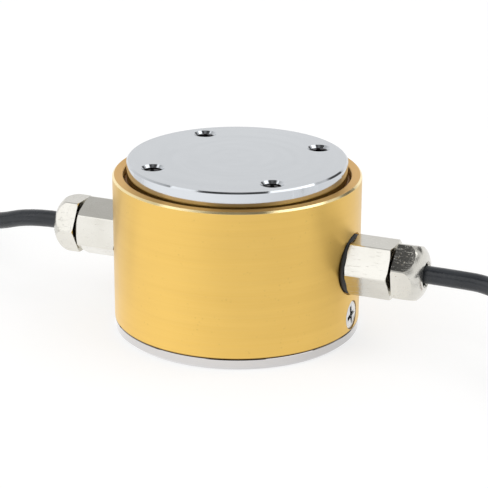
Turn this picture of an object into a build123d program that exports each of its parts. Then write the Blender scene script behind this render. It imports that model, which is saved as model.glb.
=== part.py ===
"""Two-channel force and torque sensor: a one-piece steel elastic body in a gold anodised sleeve,
with a cable gland on each side. Origin at the middle of the underside, +Z up, glands along X."""

from build123d import *

import math
import os

# Body and sleeve
sleeve_diameter = 70.0
sleeve_wall = 3.0
rim_chamfer = 0.5
rim_inner_chamfer = 0.2
foot_chamfer = 0.25
flange_thickness = 3.2
flange_step = 0.1
flange_chamfer = 0.8
flange_top_chamfer = 0.3
spigot_height = 10.8
slide_fit = 0.05
body_height = 49.4
plate_proud = 4.2
plate_thickness = 11.0
plate_gap = 1.0
plate_chamfer = 0.45
relief_radius = 18.0
relief_depth = 0.5

# Measuring column between the two flanges
column_width = 22.0
column_corner = 3.0
neck_depth = 3.0
neck_length = 14.0
neck_fillet = 2.5
root_fillet = 2.0
fillet_share = 0.9

# Tapped holes in both faces, M6 on a common pitch circle
bolt_circle = 50.0
bolt_start_angle = 45.0
bolt_count = 4
bolt_bore = 5.0
bolt_sink = 6.6
bolt_depth = 9.0

# Sleeve screws, M4 countersunk, one under each gland
screw_height = 7.7
screw_head = 7.9
screw_shank = 3.94
screw_length = 10.0
screw_recess_depth = 1.5
screw_recess_taper = 8.0
screw_slot = 0.9
screw_cross = 4.2
screw_clearance = 0.06
screw_tap_extra = 1.0

# Ring seals
base_seal_section = 1.8
base_seal_below_top = 3.0
dust_seal_section = 2.12
dust_seal_below_rim = 2.6
seal_clearance = 0.02
seal_flat_count = 8
seal_turn = 22.5
cable_grip_clearance = 0.1

# Cable glands, M12 body with a hexagon of 15 across the flats
gland_height = 23.0
spot_face_radius = 8.8
spot_face_depth = 1.1
washer_thickness = 1.3
washer_radius = 8.4
hex_flats = 15.0
hex_length = 11.3
hex_chamfer_drop = 0.9
gland_thread = 12.0
gland_fit = 0.05
gland_shank = 5.4
gland_bore = 6.4
neck_gap = 1.9
nut_length = 7.9
nut_hex_length = 3.5
nut_dome_radius = 5.3
nut_mouth = 6.4
nut_face = 1.1
thread_run_out = 0.5
hex_skin = 0.1
nose_skin = 0.02
socket_diameter = 9.6
socket_depth = 8.2
claw_wall = 0.75
claw_fingers = 6
claw_slot = 0.8
claw_collar = 1.2
claw_seat = 0.6
claw_taper = 0.9
claw_tip_gap = 0.7
claw_tip_drop = 1.9
seal_tip_gap = 0.9
right_body_turn = -2.4
left_body_turn = 26.0
right_nut_turn = 38.0
left_nut_turn = 0.5

# Foil gauges on the neck of the column
gauge_width = 7.0
gauge_height = 8.4
gauge_corner = 0.8
gauge_thickness = 0.25
gauge_tab = 1.6
lead_diameter = 0.4
lead_flat_count = 6
lead_rise = 2.5
landing_inset = 1.6
torque_landing_angle = 14.6
thrust_landing_angle = 41.6

# Wiring boards on top of the spigot
board_gap = 0.2
board_margin = 2.5
board_thickness = 1.2
board_half_angle = 78.0
board_screw_angle = 60.0
board_screw_shank = 1.96
board_screw_head = 3.6
board_screw_head_height = 1.3
board_screw_length = 4.0
resistor_length = 3.2
resistor_width = 1.6
resistor_thickness = 0.7
resistor_inset = 3.5
resistor_angles = (-35.0, -21.0, 21.0, 35.0)

# Cable
cable_diameter = 5.0
core_diameter = 1.2
core_flat_count = 8
core_offset = 0.95
core_straight = 3.0
core_pad_pitch = 4.0
core_pad_inset = 4.7
core_rise = 4.4
core_colours = ("red", "black", "green", "white")

# Coil of the cable that is put away, tied, beyond each gland
coil_turns_across = 3
coil_layers = 4
coil_middle_radius = 25.0
coil_clearance = 0.1
coil_corner = 1.2
tie_thickness = 0.8
tie_width = 4.0
tie_angle = -25.0
tie_buckle_length = 5.2
tie_buckle_width = 5.0
tie_buckle_height = 1.8
tail_length = 30.0
lead_length = 27.0
lead_reach = 6.0
lead_middle = 14.0
lead_spread = (2.4, -1.0, -4.6, -8.4)
lead_stagger = 1.0

# Two places nearer to each other than this are the same
match_tolerance = 0.01

# Values worked out from the above
sleeve_radius = sleeve_diameter / 2
sleeve_bore = sleeve_radius - sleeve_wall
sleeve_top = body_height - plate_proud
sleeve_length = sleeve_top - flange_thickness
spigot_radius = sleeve_bore - slide_fit
spigot_top = flange_thickness + spigot_height
plate_radius = sleeve_bore - plate_gap
plate_bottom = body_height - plate_thickness
column_height = plate_bottom - spigot_top
column_reach = math.sqrt(2) * (column_width / 2 - column_corner) + column_corner
neck_middle = (spigot_top + plate_bottom) / 2
neck_width = column_width - 2 * neck_depth
neck_round = min(neck_fillet, fillet_share * neck_depth)
root_round = min(root_fillet, fillet_share * (column_height - neck_length) / 2)
spot_x = sleeve_radius - spot_face_depth
cable_radius = cable_diameter / 2
hex_start = washer_thickness
hex_end = hex_start + hex_length
nut_start = hex_end + neck_gap
nut_end = nut_start + nut_length
screw_sag = sleeve_radius - math.sqrt(sleeve_radius**2 - screw_head**2 / 4)
base_seal_z = spigot_top - base_seal_below_top
dust_seal_z = sleeve_top - dust_seal_below_rim
coil_half_width = coil_turns_across * cable_diameter / 2
coil_bottom = tie_thickness
coil_top = coil_bottom + coil_layers * cable_diameter
coil_outer = coil_middle_radius + coil_half_width
tie_corner = coil_corner + (2 - math.sqrt(2)) * tie_thickness
coil_turn = coil_outer - cable_radius
coil_stub = math.sqrt((coil_outer + cable_radius + coil_clearance) ** 2 - coil_turn**2)
board_inner = column_reach + root_fillet + board_gap
board_outer = sleeve_bore - board_margin
board_top = spigot_top + board_thickness
board_screw_circle = (board_inner + board_outer) / 2
board_screw_angles = [
    middle + hand * board_screw_angle for middle in (0, 180) for hand in (-1, 1)
]

# The cable's way from inside each gland to the top turn of its coil, as it hangs: how far out from the
# gland's seat on the sleeve, how far back, and how much above the gland's axis
right_route = [
    (-6.9, 0, 0),
    (17.1, 0, 0.05),
    (40.1, 0, -0.25),
    (51.7, -4.4, -3.0),
    (60.9, -12.7, -3.7),
]
left_route = [
    (-6.9, 0, 0),
    (13.1, 0, 0.05),
    (33.1, 0, -0.05),
    (45.6, 0.8, -4.2),
    (57.6, 5.0, -4.5),
    (66.4, 12.4, -4.6),
]

parts_folder = "parts"
os.makedirs(parts_folder, exist_ok=True)


def save(piece, name):
    """Write a finished and labelled piece as its own file."""
    export_step(piece, os.path.join(parts_folder, name + ".step"))


def route_points(side, route):
    """Points of a cable's route in the part's frame."""
    return [(side * (spot_x + out), back, gland_height + rise) for out, back, rise in route]


def gland_plane(side, along=0.0):
    """Plane across a gland's axis, its normal pointing outwards, at a distance from the spot face."""
    return Plane(
        origin=(side * (spot_x + along), 0, gland_height),
        x_dir=(0, 1, 0),
        z_dir=(side, 0, 0),
    )


def half_plane(side, start=spot_x, height=gland_height):
    """Upright plane through an axis along X, x outwards from the start and y upwards."""
    return Plane(
        origin=(side * start, 0, height),
        x_dir=(side, 0, 0),
        z_dir=(0, -side, 0),
    )


def gland_axis(side):
    """Axis of a gland, pointing outwards."""
    return Axis((side * spot_x, 0, gland_height), (side, 0, 0))


def path_radii(points):
    """Radius of each arc of a cable: 0.45 of the shorter run over the tangent of half the turn."""
    places = [Vector(*point) for point in points]
    radii = []
    for before, corner, after in zip(places, places[1:], places[2:]):
        run_in = corner - before
        run_out = after - corner
        half_turn = math.radians(run_in.get_angle(run_out)) / 2
        radii.append(0.45 * min(run_in.length, run_out.length) / math.tan(half_turn))
    return radii


def rounded_path(points):
    """Straight runs joined by tangent arcs, as large as the runs allow."""
    with BuildLine() as path:
        FilletPolyline(*points, radius=path_radii(points))
    return path


def bent_wire(points, diameter, flats):
    """Thin wire whose straight runs meet in mitres, its round section drawn with flats."""
    with BuildPart() as wire:
        with BuildLine() as path:
            Polyline(*points)
        with BuildSketch(path.line ^ 0):
            RegularPolygon(diameter / 2, flats)
        sweep(path=path.line, transition=Transition.RIGHT)
    return wire.part


# Measuring column, necked on all four sides by crossing two profiles
with BuildPart() as column:
    with BuildSketch(Plane.XZ) as column_side:
        Rectangle(column_width, column_height)
        with Locations((column_width / 2, 0), (-column_width / 2, 0)):
            Rectangle(2 * neck_depth, neck_length, mode=Mode.SUBTRACT)
        inner_corners = [
            corner
            for corner in column_side.vertices()
            if abs(abs(corner.Y) - neck_length / 2) < match_tolerance
            and abs(abs(corner.X) - neck_width / 2) < match_tolerance
        ]
        fillet(inner_corners, neck_round)
    extrude(amount=column_width / 2, both=True)
    with BuildSketch(Plane.YZ):
        add(column_side.sketch_local)
    extrude(amount=column_width / 2, both=True, mode=Mode.INTERSECT)
    with BuildSketch(Plane.XY.offset(-column_height / 2)):
        RectangleRounded(column_width, column_width, column_corner)
    extrude(amount=column_height, mode=Mode.INTERSECT)

# Elastic body: base flange and spigot, measuring column and loading plate, all one piece
with BuildPart() as elastic_body:
    with BuildSketch(Plane.XZ):
        with BuildLine():
            seal_half = base_seal_section / 2 + seal_clearance
            seal_floor = sleeve_bore - base_seal_section
            Polyline(
                (0, 0),
                (sleeve_radius - flange_step, 0),
                (sleeve_radius - flange_step, flange_thickness),
                (spigot_radius, flange_thickness),
                (spigot_radius, base_seal_z - seal_half),
                (seal_floor, base_seal_z - seal_half),
                (seal_floor, base_seal_z + seal_half),
                (spigot_radius, base_seal_z + seal_half),
                (spigot_radius, spigot_top),
                (0, spigot_top),
                close=True,
            )
        make_face()
    revolve(axis=Axis.Z)
    foot_edges = elastic_body.edges().filter_by(GeomType.CIRCLE).group_by(Axis.Z)[0]
    chamfer(foot_edges, flange_chamfer)
    ledge_edges = [
        edge
        for edge in elastic_body.edges().filter_by(GeomType.CIRCLE)
        if abs(edge.center().Z - flange_thickness) < match_tolerance
        and edge.radius > sleeve_bore
    ]
    chamfer(ledge_edges, flange_top_chamfer)

    with Locations((0, 0, neck_middle)):
        add(column.part)

    with BuildSketch(Plane.XZ):
        with BuildLine():
            dust_half = dust_seal_section / 2 + seal_clearance
            dust_floor = sleeve_bore - dust_seal_section
            Polyline(
                (0, plate_bottom),
                (plate_radius, plate_bottom),
                (plate_radius, dust_seal_z - dust_half),
                (dust_floor, dust_seal_z - dust_half),
                (dust_floor, dust_seal_z + dust_half),
                (plate_radius, dust_seal_z + dust_half),
                (plate_radius, body_height),
                (0, body_height),
                close=True,
            )
        make_face()
    revolve(axis=Axis.Z)
    plate_edges = elastic_body.edges().filter_by(GeomType.CIRCLE).group_by(Axis.Z)[-1]
    chamfer(plate_edges, plate_chamfer)
    root_edges = [
        edge
        for edge in elastic_body.edges()
        if min(abs(edge.center().Z - spigot_top), abs(edge.center().Z - plate_bottom)) < match_tolerance
        and max(abs(edge.center().X), abs(edge.center().Y)) < column_width / 2 + match_tolerance
        and edge.length < column_width + match_tolerance
    ]
    fillet(root_edges, root_round)

    # Relief under the base, so that it bears on its outer ring
    with BuildSketch(Plane.XY):
        Circle(relief_radius)
    extrude(amount=relief_depth, mode=Mode.SUBTRACT)

    # Tapped holes for the load above and the frame below
    for face_plane in (Plane.XY.offset(body_height), Plane.XY.rotated((180, 0, 0))):
        with Locations(face_plane):
            with PolarLocations(bolt_circle / 2, bolt_count, start_angle=bolt_start_angle):
                CounterSinkHole(
                    radius=bolt_bore / 2,
                    counter_sink_radius=bolt_sink / 2,
                    depth=bolt_depth,
                    counter_sink_angle=90,
                )

    # Tapped holes for the sleeve screws and for the board screws
    tap_depth = sleeve_bore - sleeve_radius + screw_length + screw_tap_extra
    for side in (1, -1):
        screw_plane = Plane(
            origin=(side * spigot_radius, 0, screw_height), z_dir=(side, 0, 0)
        )
        with Locations(screw_plane):
            Hole(radius=screw_shank / 2 + screw_clearance, depth=tap_depth)
    for angle in board_screw_angles:
        with Locations(Plane.XY.offset(spigot_top)):
            with PolarLocations(board_screw_circle, 1, start_angle=angle):
                Hole(radius=board_screw_shank / 2 + screw_clearance, depth=board_screw_length)
elastic_body.part.label = "elastic_body"
save(elastic_body.part, "elastic_body")

# Sleeve: thin tube with a spot face and a tapped hole for each gland and a sink for each screw
with BuildPart() as housing_sleeve:
    with BuildSketch(Plane.XY.offset(flange_thickness)):
        Circle(sleeve_radius)
        Circle(sleeve_bore, mode=Mode.SUBTRACT)
    extrude(amount=sleeve_length)
    rim_edges = housing_sleeve.edges().filter_by(GeomType.CIRCLE).group_by(Axis.Z)[-1]
    chamfer(rim_edges.sort_by(SortBy.RADIUS)[-1], rim_chamfer)
    inner_rim = housing_sleeve.edges().filter_by(GeomType.CIRCLE).group_by(Axis.Z)[-1]
    chamfer(inner_rim.sort_by(SortBy.RADIUS)[0], rim_inner_chamfer)
    foot_rim = housing_sleeve.edges().filter_by(GeomType.CIRCLE).group_by(Axis.Z)[0]
    chamfer(foot_rim.sort_by(SortBy.RADIUS)[-1], foot_chamfer)
    for side in (1, -1):
        with BuildSketch(gland_plane(side)):
            Circle(spot_face_radius)
        extrude(amount=spot_face_depth + sleeve_wall, mode=Mode.SUBTRACT)
        with BuildSketch(gland_plane(side)):
            Circle(gland_thread / 2)
        extrude(amount=-2 * sleeve_wall, mode=Mode.SUBTRACT)
        sink_plane = Plane(
            origin=(side * sleeve_radius, 0, screw_height), z_dir=(side, 0, 0)
        )
        with Locations(sink_plane):
            CounterSinkHole(
                radius=screw_shank / 2 + screw_clearance,
                counter_sink_radius=screw_head / 2 + screw_sag + screw_clearance,
                depth=2 * sleeve_wall,
                counter_sink_angle=90,
            )
housing_sleeve.part.label = "housing_sleeve"
save(housing_sleeve.part, "housing_sleeve")

# Ring seals: one between spigot and sleeve, one between loading plate and sleeve, each with eight flats
with BuildPart() as base_seal_ring:
    with BuildSketch(Plane.XZ):
        with Locations((sleeve_bore - base_seal_section / 2, base_seal_z)):
            RegularPolygon(
                base_seal_section / 2 - seal_clearance,
                seal_flat_count,
                major_radius=False,
                rotation=seal_turn,
            )
    revolve(axis=Axis.Z)
base_seal_ring.part.label = "base_seal_ring"
save(base_seal_ring.part, "base_seal_ring")

with BuildPart() as dust_seal_ring:
    with BuildSketch(Plane.XZ):
        with Locations((sleeve_bore - dust_seal_section / 2, dust_seal_z)):
            RegularPolygon(
                dust_seal_section / 2 - seal_clearance,
                seal_flat_count,
                major_radius=False,
                rotation=seal_turn,
            )
    revolve(axis=Axis.Z)
dust_seal_ring.part.label = "dust_seal_ring"
save(dust_seal_ring.part, "dust_seal_ring")


def make_sleeve_screw(side, name):
    """Countersunk M4 screw with a cross recess, its head level with the sleeve."""
    head_radius = screw_head / 2
    cone = head_radius - screw_shank / 2
    with BuildPart() as screw:
        with BuildSketch(half_plane(side, sleeve_radius - screw_sag, screw_height)):
            with BuildLine():
                Polyline(
                    (0, 0),
                    (0, head_radius),
                    (-cone, screw_shank / 2),
                    (-screw_length, screw_shank / 2),
                    (-screw_length, 0),
                    close=True,
                )
            make_face()
        revolve(axis=Axis((0, 0, screw_height), (1, 0, 0)))
        recess = Plane(
            origin=(side * (sleeve_radius - screw_sag), 0, screw_height), z_dir=(side, 0, 0)
        )
        with BuildSketch(recess):
            Rectangle(screw_cross, screw_slot)
            Rectangle(screw_slot, screw_cross)
        extrude(amount=-screw_recess_depth, taper=screw_recess_taper, mode=Mode.SUBTRACT)
    screw.part.label = name
    save(screw.part, name)


make_sleeve_screw(1, "sleeve_screw_right")
make_sleeve_screw(-1, "sleeve_screw_left")


def make_gland(side, name, body_turn, nut_turn):
    """Washer, threaded body, rubber seal, clamping claw and domed nut of one cable gland."""
    corner_radius = hex_flats / math.sqrt(3)
    thread_radius = gland_thread / 2 - gland_fit
    socket_mouth = nut_start + nut_hex_length + thread_run_out
    socket_floor = socket_mouth - socket_depth
    claw_start = socket_floor + claw_seat
    claw_outer = socket_diameter / 2 - gland_fit
    claw_inner = claw_outer - claw_wall
    mouth_inside = nut_end - nut_face

    with BuildPart() as washer:
        with BuildSketch(gland_plane(side)):
            Circle(washer_radius)
            Circle(gland_thread / 2, mode=Mode.SUBTRACT)
        extrude(amount=washer_thickness)
    washer.part.label = "gland_washer_" + name
    save(washer.part, "gland_washer_" + name)

    with BuildPart() as body:
        with BuildSketch(gland_plane(side, hex_start)):
            RegularPolygon(corner_radius, 6, rotation=body_turn)
        extrude(amount=hex_length)
        # Both ends of the hexagon are turned to a shallow cone
        with BuildSketch(half_plane(side)):
            with BuildLine():
                Polyline(
                    (hex_start, 0),
                    (hex_start, corner_radius - hex_chamfer_drop),
                    (hex_start + hex_chamfer_drop / 2, corner_radius + hex_skin),
                    (hex_end - hex_chamfer_drop / 2, corner_radius + hex_skin),
                    (hex_end, corner_radius - hex_chamfer_drop),
                    (hex_end, 0),
                    close=True,
                )
            make_face()
        revolve(axis=gland_axis(side), mode=Mode.INTERSECT)
        with BuildSketch(gland_plane(side, -gland_shank)):
            Circle(thread_radius)
        extrude(amount=gland_shank + hex_start)
        with BuildSketch(gland_plane(side, hex_end)):
            Circle(thread_radius)
        extrude(amount=socket_mouth - hex_end)
        with BuildSketch(gland_plane(side, -gland_shank)):
            Circle(gland_bore / 2)
        extrude(amount=gland_shank + nut_end, mode=Mode.SUBTRACT)
        with BuildSketch(gland_plane(side, socket_mouth)):
            Circle(socket_diameter / 2)
        extrude(amount=-socket_depth, mode=Mode.SUBTRACT)
    body.part.label = "gland_body_" + name
    save(body.part, "gland_body_" + name)

    with BuildPart() as claw:
        with BuildSketch(half_plane(side)):
            with BuildLine():
                Polyline(
                    (claw_start, claw_inner),
                    (claw_start, claw_outer),
                    (socket_mouth, claw_outer),
                    (mouth_inside - claw_tip_gap, claw_outer - claw_taper),
                    (mouth_inside - claw_tip_gap, claw_inner - claw_taper),
                    (socket_mouth, claw_inner),
                    close=True,
                )
            make_face()
        revolve(axis=gland_axis(side))
        slot_length = mouth_inside - claw_start - claw_collar
        with Locations(gland_plane(side, mouth_inside - slot_length / 2)):
            with PolarLocations(claw_inner, claw_fingers):
                Box(socket_diameter / 3, claw_slot, slot_length, mode=Mode.SUBTRACT)
    claw.part.label = "gland_claw_" + name
    save(claw.part, "gland_claw_" + name)

    with BuildPart() as seal:
        with BuildSketch(half_plane(side)):
            with BuildLine():
                Polyline(
                    (claw_start, cable_radius + cable_grip_clearance),
                    (claw_start, claw_inner - gland_fit),
                    (socket_mouth - gland_fit, claw_inner - gland_fit),
                    (mouth_inside - seal_tip_gap, claw_inner - claw_taper - gland_fit),
                    (mouth_inside - seal_tip_gap, cable_radius + cable_grip_clearance),
                    close=True,
                )
            make_face()
        revolve(axis=gland_axis(side))
    seal.part.label = "gland_seal_" + name
    save(seal.part, "gland_seal_" + name)

    # Domed nut: hexagon cut back by a round nose, bored for the thread and for the claw
    nose_start = nut_end - nut_dome_radius
    nose_rim = corner_radius + nose_skin
    with BuildPart() as nut:
        with BuildSketch(gland_plane(side, nut_start)):
            RegularPolygon(corner_radius, 6, rotation=nut_turn)
        extrude(amount=nut_length)
        with BuildSketch(half_plane(side)):
            with BuildLine():
                Polyline(
                    (nut_start, 0),
                    (nut_start, corner_radius - hex_chamfer_drop / 2),
                    (nut_start + hex_chamfer_drop / 4, nose_rim),
                    (nose_start, nose_rim),
                )
                RadiusArc((nose_start, nose_rim), (nut_end, nose_rim - nut_dome_radius), nut_dome_radius)
                Polyline((nut_end, nose_rim - nut_dome_radius), (nut_end, 0), (nut_start, 0))
            make_face()
        revolve(axis=gland_axis(side), mode=Mode.INTERSECT)
        with BuildSketch(half_plane(side)):
            with BuildLine():
                Polyline(
                    (nut_start, 0),
                    (nut_start, gland_thread / 2),
                    (socket_mouth, gland_thread / 2),
                    (mouth_inside, gland_thread / 2 - claw_tip_drop),
                    (mouth_inside, nut_mouth / 2),
                    (nut_end, nut_mouth / 2),
                    (nut_end, 0),
                    close=True,
                )
            make_face()
        revolve(axis=gland_axis(side), mode=Mode.SUBTRACT)
    nut.part.label = "gland_nut_" + name
    save(nut.part, "gland_nut_" + name)


make_gland(1, "right", right_body_turn, right_nut_turn)
make_gland(-1, "left", left_body_turn, left_nut_turn)


def make_gauge(face_angle, name):
    """Foil gauge bonded to one side of the neck, with a solder tab strip below its grid."""
    turned = Plane(
        origin=(0, 0, neck_middle),
        x_dir=(-math.sin(math.radians(face_angle)), math.cos(math.radians(face_angle)), 0),
        z_dir=(math.cos(math.radians(face_angle)), math.sin(math.radians(face_angle)), 0),
    )
    with BuildPart() as gauge:
        with BuildSketch(turned.offset(neck_width / 2)):
            RectangleRounded(gauge_width, gauge_height, gauge_corner)
        extrude(amount=gauge_thickness)
        with BuildSketch(turned.offset(neck_width / 2 + gauge_thickness)):
            with Locations((-gauge_tab, -gauge_height / 3), (gauge_tab, -gauge_height / 3)):
                Rectangle(gauge_tab, gauge_tab)
        extrude(amount=gauge_thickness)
    gauge.part.label = name
    save(gauge.part, name)


make_gauge(90, "thrust_gauge_back")
make_gauge(-90, "thrust_gauge_front")
make_gauge(0, "torque_gauge_right")
make_gauge(180, "torque_gauge_left")


def make_board(side, name):
    """Half-ring wiring board that lies on the spigot round the column."""
    middle = 0 if side > 0 else 180
    with BuildPart() as board:
        with BuildSketch(Plane.XY.offset(spigot_top)):
            with BuildLine():
                start = math.radians(middle - board_half_angle)
                stop = math.radians(middle + board_half_angle)
                centre = math.radians(middle)
                outer = [
                    (board_outer * math.cos(angle), board_outer * math.sin(angle))
                    for angle in (start, centre, stop)
                ]
                inner = [
                    (board_inner * math.cos(angle), board_inner * math.sin(angle))
                    for angle in (start, centre, stop)
                ]
                ThreePointArc(*outer)
                Line(outer[2], inner[2])
                ThreePointArc(*inner)
                Line(inner[0], outer[0])
            make_face()
        extrude(amount=board_thickness)
        with Locations(Plane.XY.offset(board_top)):
            for angle in (middle - board_screw_angle, middle + board_screw_angle):
                with PolarLocations(board_screw_circle, 1, start_angle=angle):
                    Hole(radius=board_screw_shank / 2 + screw_clearance)
    board.part.label = "wiring_board_" + name
    save(board.part, "wiring_board_" + name)


make_board(1, "right")
make_board(-1, "left")

# Plain cheese-head screws that hold the boards down
with BuildPart() as board_screws:
    for angle in board_screw_angles:
        with BuildSketch(Plane.XY.offset(board_top)):
            with PolarLocations(board_screw_circle, 1, start_angle=angle):
                Circle(board_screw_head / 2)
        extrude(amount=board_screw_head_height)
        with BuildSketch(Plane.XY.offset(board_top)):
            with PolarLocations(board_screw_circle, 1, start_angle=angle):
                Circle(board_screw_shank / 2)
        extrude(amount=-board_thickness - board_screw_length + screw_clearance)
board_screws.part.label = "board_screws"
save(board_screws.part, "board_screws")

with BuildPart() as trim_resistors:
    for middle in (0, 180):
        for angle in resistor_angles:
            with BuildSketch(Plane.XY.offset(board_top)):
                with PolarLocations(board_outer - resistor_inset, 1, start_angle=middle + angle):
                    Rectangle(resistor_width, resistor_length)
    extrude(amount=resistor_thickness)
trim_resistors.part.label = "trim_resistors"
save(trim_resistors.part, "trim_resistors")


def make_gauge_leads(face_angles, landing_angle, name):
    """Pairs of fine wires from the solder tabs of two gauges to the wiring boards."""
    tab_z = neck_middle - gauge_height / 3
    tab_face = neck_width / 2 + 2 * gauge_thickness
    landing_circle = board_inner + landing_inset
    landing_out = landing_circle * math.cos(math.radians(landing_angle))
    landing_across = landing_circle * math.sin(math.radians(landing_angle))
    with BuildPart() as leads:
        for face_angle in face_angles:
            for hand in (-1, 1):
                points = [
                    (tab_face, hand * gauge_tab, tab_z),
                    (tab_face + lead_rise, hand * gauge_tab, tab_z),
                    (landing_out, hand * landing_across, board_top + lead_rise),
                    (landing_out, hand * landing_across, board_top),
                ]
                wire = bent_wire(points, lead_diameter, lead_flat_count)
                add(wire.rotate(Axis.Z, face_angle))
    leads.part.label = name
    save(leads.part, name)


make_gauge_leads((0, 180), torque_landing_angle, "torque_gauge_leads")
make_gauge_leads((90, -90), thrust_landing_angle, "thrust_gauge_leads")


def make_cores(side, route, name):
    """Four insulated conductors from the end of the jacket to the pads of the wiring board."""
    offsets = [(-1, 1), (-1, -1), (1, -1), (1, 1)]
    jacket_end = spot_x + route[0][0]
    core_pad_x = board_inner + core_pad_inset
    for number, colour in enumerate(core_colours):
        across, up = offsets[number]
        core_y = across * core_offset
        core_z = gland_height + up * core_offset
        pad_y = (number - 1.5) * core_pad_pitch
        points = [
            (side * jacket_end, core_y, core_z),
            (side * (jacket_end - core_straight), core_y, core_z),
            (side * core_pad_x, pad_y, board_top + core_rise),
            (side * core_pad_x, pad_y, board_top),
        ]
        core = bent_wire(points, core_diameter, core_flat_count)
        core.label = "core_" + colour + "_" + name
        save(core, core.label)


make_cores(1, right_route, "right")
make_cores(-1, left_route, "left")


def make_cable(points, name):
    """Cable from inside the gland to where it lies on top of its coil."""
    path = rounded_path(points)
    with BuildPart() as tube:
        with BuildSketch(path.line ^ 0):
            Circle(cable_radius)
        sweep(path=path.line)
    radii = [round(radius, 1) for radius in path_radii(points)]
    section = math.pi * cable_radius**2
    length = sum(edge.length for edge in path.edges())
    print(name, "radii", radii, "length", round(length, 1), "volume", round(tube.part.volume / section, 1))
    tube.part.label = name
    save(tube.part, name)


make_cable(route_points(1, right_route), "cable_right")
make_cable(route_points(-1, left_route), "cable_left")


def coil_centre(points):
    """Middle of the coil whose outer turn the end of a route runs into, to the left of it."""
    end = Vector(*points[-1])
    heading = (end - Vector(*points[-2])).normalized()
    level = Vector(heading.X, heading.Y, 0).normalized()
    meeting = end + heading * coil_stub
    return Vector(meeting.X - level.Y * coil_turn, meeting.Y + level.X * coil_turn, 0)


def make_coil(side, points, name):
    """Outer shape of the tied coil, with the cable's ends that enter and leave it."""
    centre = coil_centre(points)
    tail_start = centre + Vector(0, side * coil_turn, coil_bottom + cable_radius)
    with BuildPart() as coil:
        with BuildSketch(Plane(origin=centre, x_dir=(1, 0, 0), z_dir=(0, -1, 0))):
            with Locations((coil_middle_radius, (coil_bottom + coil_top) / 2)):
                bundle = Rectangle(2 * coil_half_width, coil_top - coil_bottom)
            chamfer(bundle.vertices(), coil_corner)
        revolve(axis=Axis(centre, (0, 0, 1)))
        with BuildSketch(Plane(origin=tail_start, z_dir=(-side, 0, 0))):
            Circle(cable_radius)
        extrude(amount=tail_length)
        heading = Vector(*points[-1]) - Vector(*points[-2])
        with BuildSketch(Plane(origin=points[-1], z_dir=heading)):
            Circle(cable_radius)
        extrude(amount=coil_stub)
    coil.part.label = "cable_coil_" + name
    save(coil.part, "cable_coil_" + name)

    tie_turn = tie_angle if side > 0 else 180 + tie_angle
    with BuildPart() as tie:
        with BuildSketch(Plane.XZ):
            with Locations((coil_middle_radius, (coil_bottom + coil_top) / 2)):
                strap = Rectangle(
                    2 * coil_half_width + 2 * tie_thickness,
                    coil_top - coil_bottom + 2 * tie_thickness,
                )
            chamfer(strap.vertices(), tie_corner)
        extrude(amount=tie_width / 2, both=True)
        # The inside of the loop follows the round flank of the coil
        with BuildSketch(Plane.XZ):
            with Locations((coil_middle_radius, (coil_bottom + coil_top) / 2)):
                bundle = Rectangle(2 * coil_half_width, coil_top - coil_bottom)
            chamfer(bundle.vertices(), coil_corner)
        revolve(axis=Axis.Z, mode=Mode.SUBTRACT)
        with BuildSketch(Plane.XY.offset(coil_top + tie_thickness)):
            with Locations((coil_middle_radius, 0)):
                Rectangle(tie_buckle_length, tie_buckle_width)
        extrude(amount=tie_buckle_height)
    placed = tie.part.rotate(Axis.Z, tie_turn).moved(Location(centre))
    placed.label = "coil_tie_" + name
    save(placed, placed.label)


make_coil(1, route_points(1, right_route), "right")
make_coil(-1, route_points(-1, left_route), "left")


def make_lead_ends(side, points, name):
    """Four bare-tipped conductors that fan out of the jacket at the free end of the cable."""
    centre = coil_centre(points) * side
    start_x = centre.X - tail_length
    start_y = centre.Y + coil_turn
    start_z = coil_bottom + cable_radius
    floor_z = core_diameter / 2
    offsets = [(1, 1), (1, -1), (-1, 1), (-1, -1)]
    for number, colour in enumerate(core_colours):
        across, up = offsets[number]
        y_start = start_y + across * core_offset
        y_end = start_y + lead_spread[number]
        places = [
            (start_x, y_start, start_z + up * core_offset),
            (start_x - lead_reach, y_start, start_z + up * core_offset),
            (start_x - lead_middle, (y_start + y_end) / 2, floor_z),
            (start_x - lead_length + number * lead_stagger, y_end, floor_z),
        ]
        lead = bent_wire([(side * x, side * y, z) for x, y, z in places], core_diameter, core_flat_count)
        lead.label = "lead_" + colour + "_" + name
        save(lead, lead.label)


make_lead_ends(1, route_points(1, right_route), "right")
make_lead_ends(-1, route_points(-1, left_route), "left")
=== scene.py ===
"""Two-channel force and torque sensor: gold sleeve on a polished steel body, with a hexagonal cable
gland and a coiled cable on each side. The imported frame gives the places, this file gives the looks."""

import math

import bmesh
import bpy
from mathutils import Matrix, Vector


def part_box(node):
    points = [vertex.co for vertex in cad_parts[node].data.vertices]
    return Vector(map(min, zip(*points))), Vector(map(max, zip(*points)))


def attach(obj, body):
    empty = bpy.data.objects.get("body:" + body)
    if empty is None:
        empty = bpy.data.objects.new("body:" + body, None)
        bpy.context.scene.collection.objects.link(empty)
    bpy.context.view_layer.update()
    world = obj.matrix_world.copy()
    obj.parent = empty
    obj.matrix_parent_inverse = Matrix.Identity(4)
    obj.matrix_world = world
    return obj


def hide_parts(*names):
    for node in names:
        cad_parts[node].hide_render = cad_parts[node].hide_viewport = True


bl_info = {
    "name": "Force Sensor Studio",
    "version": (1, 0, 0),
    "blender": (4, 5, 0),
    "location": "View3D > Sidebar > Sensor",
    "description": "Builds a round force and torque sensor with its glands and cables",
    "category": "Object",
}

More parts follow.
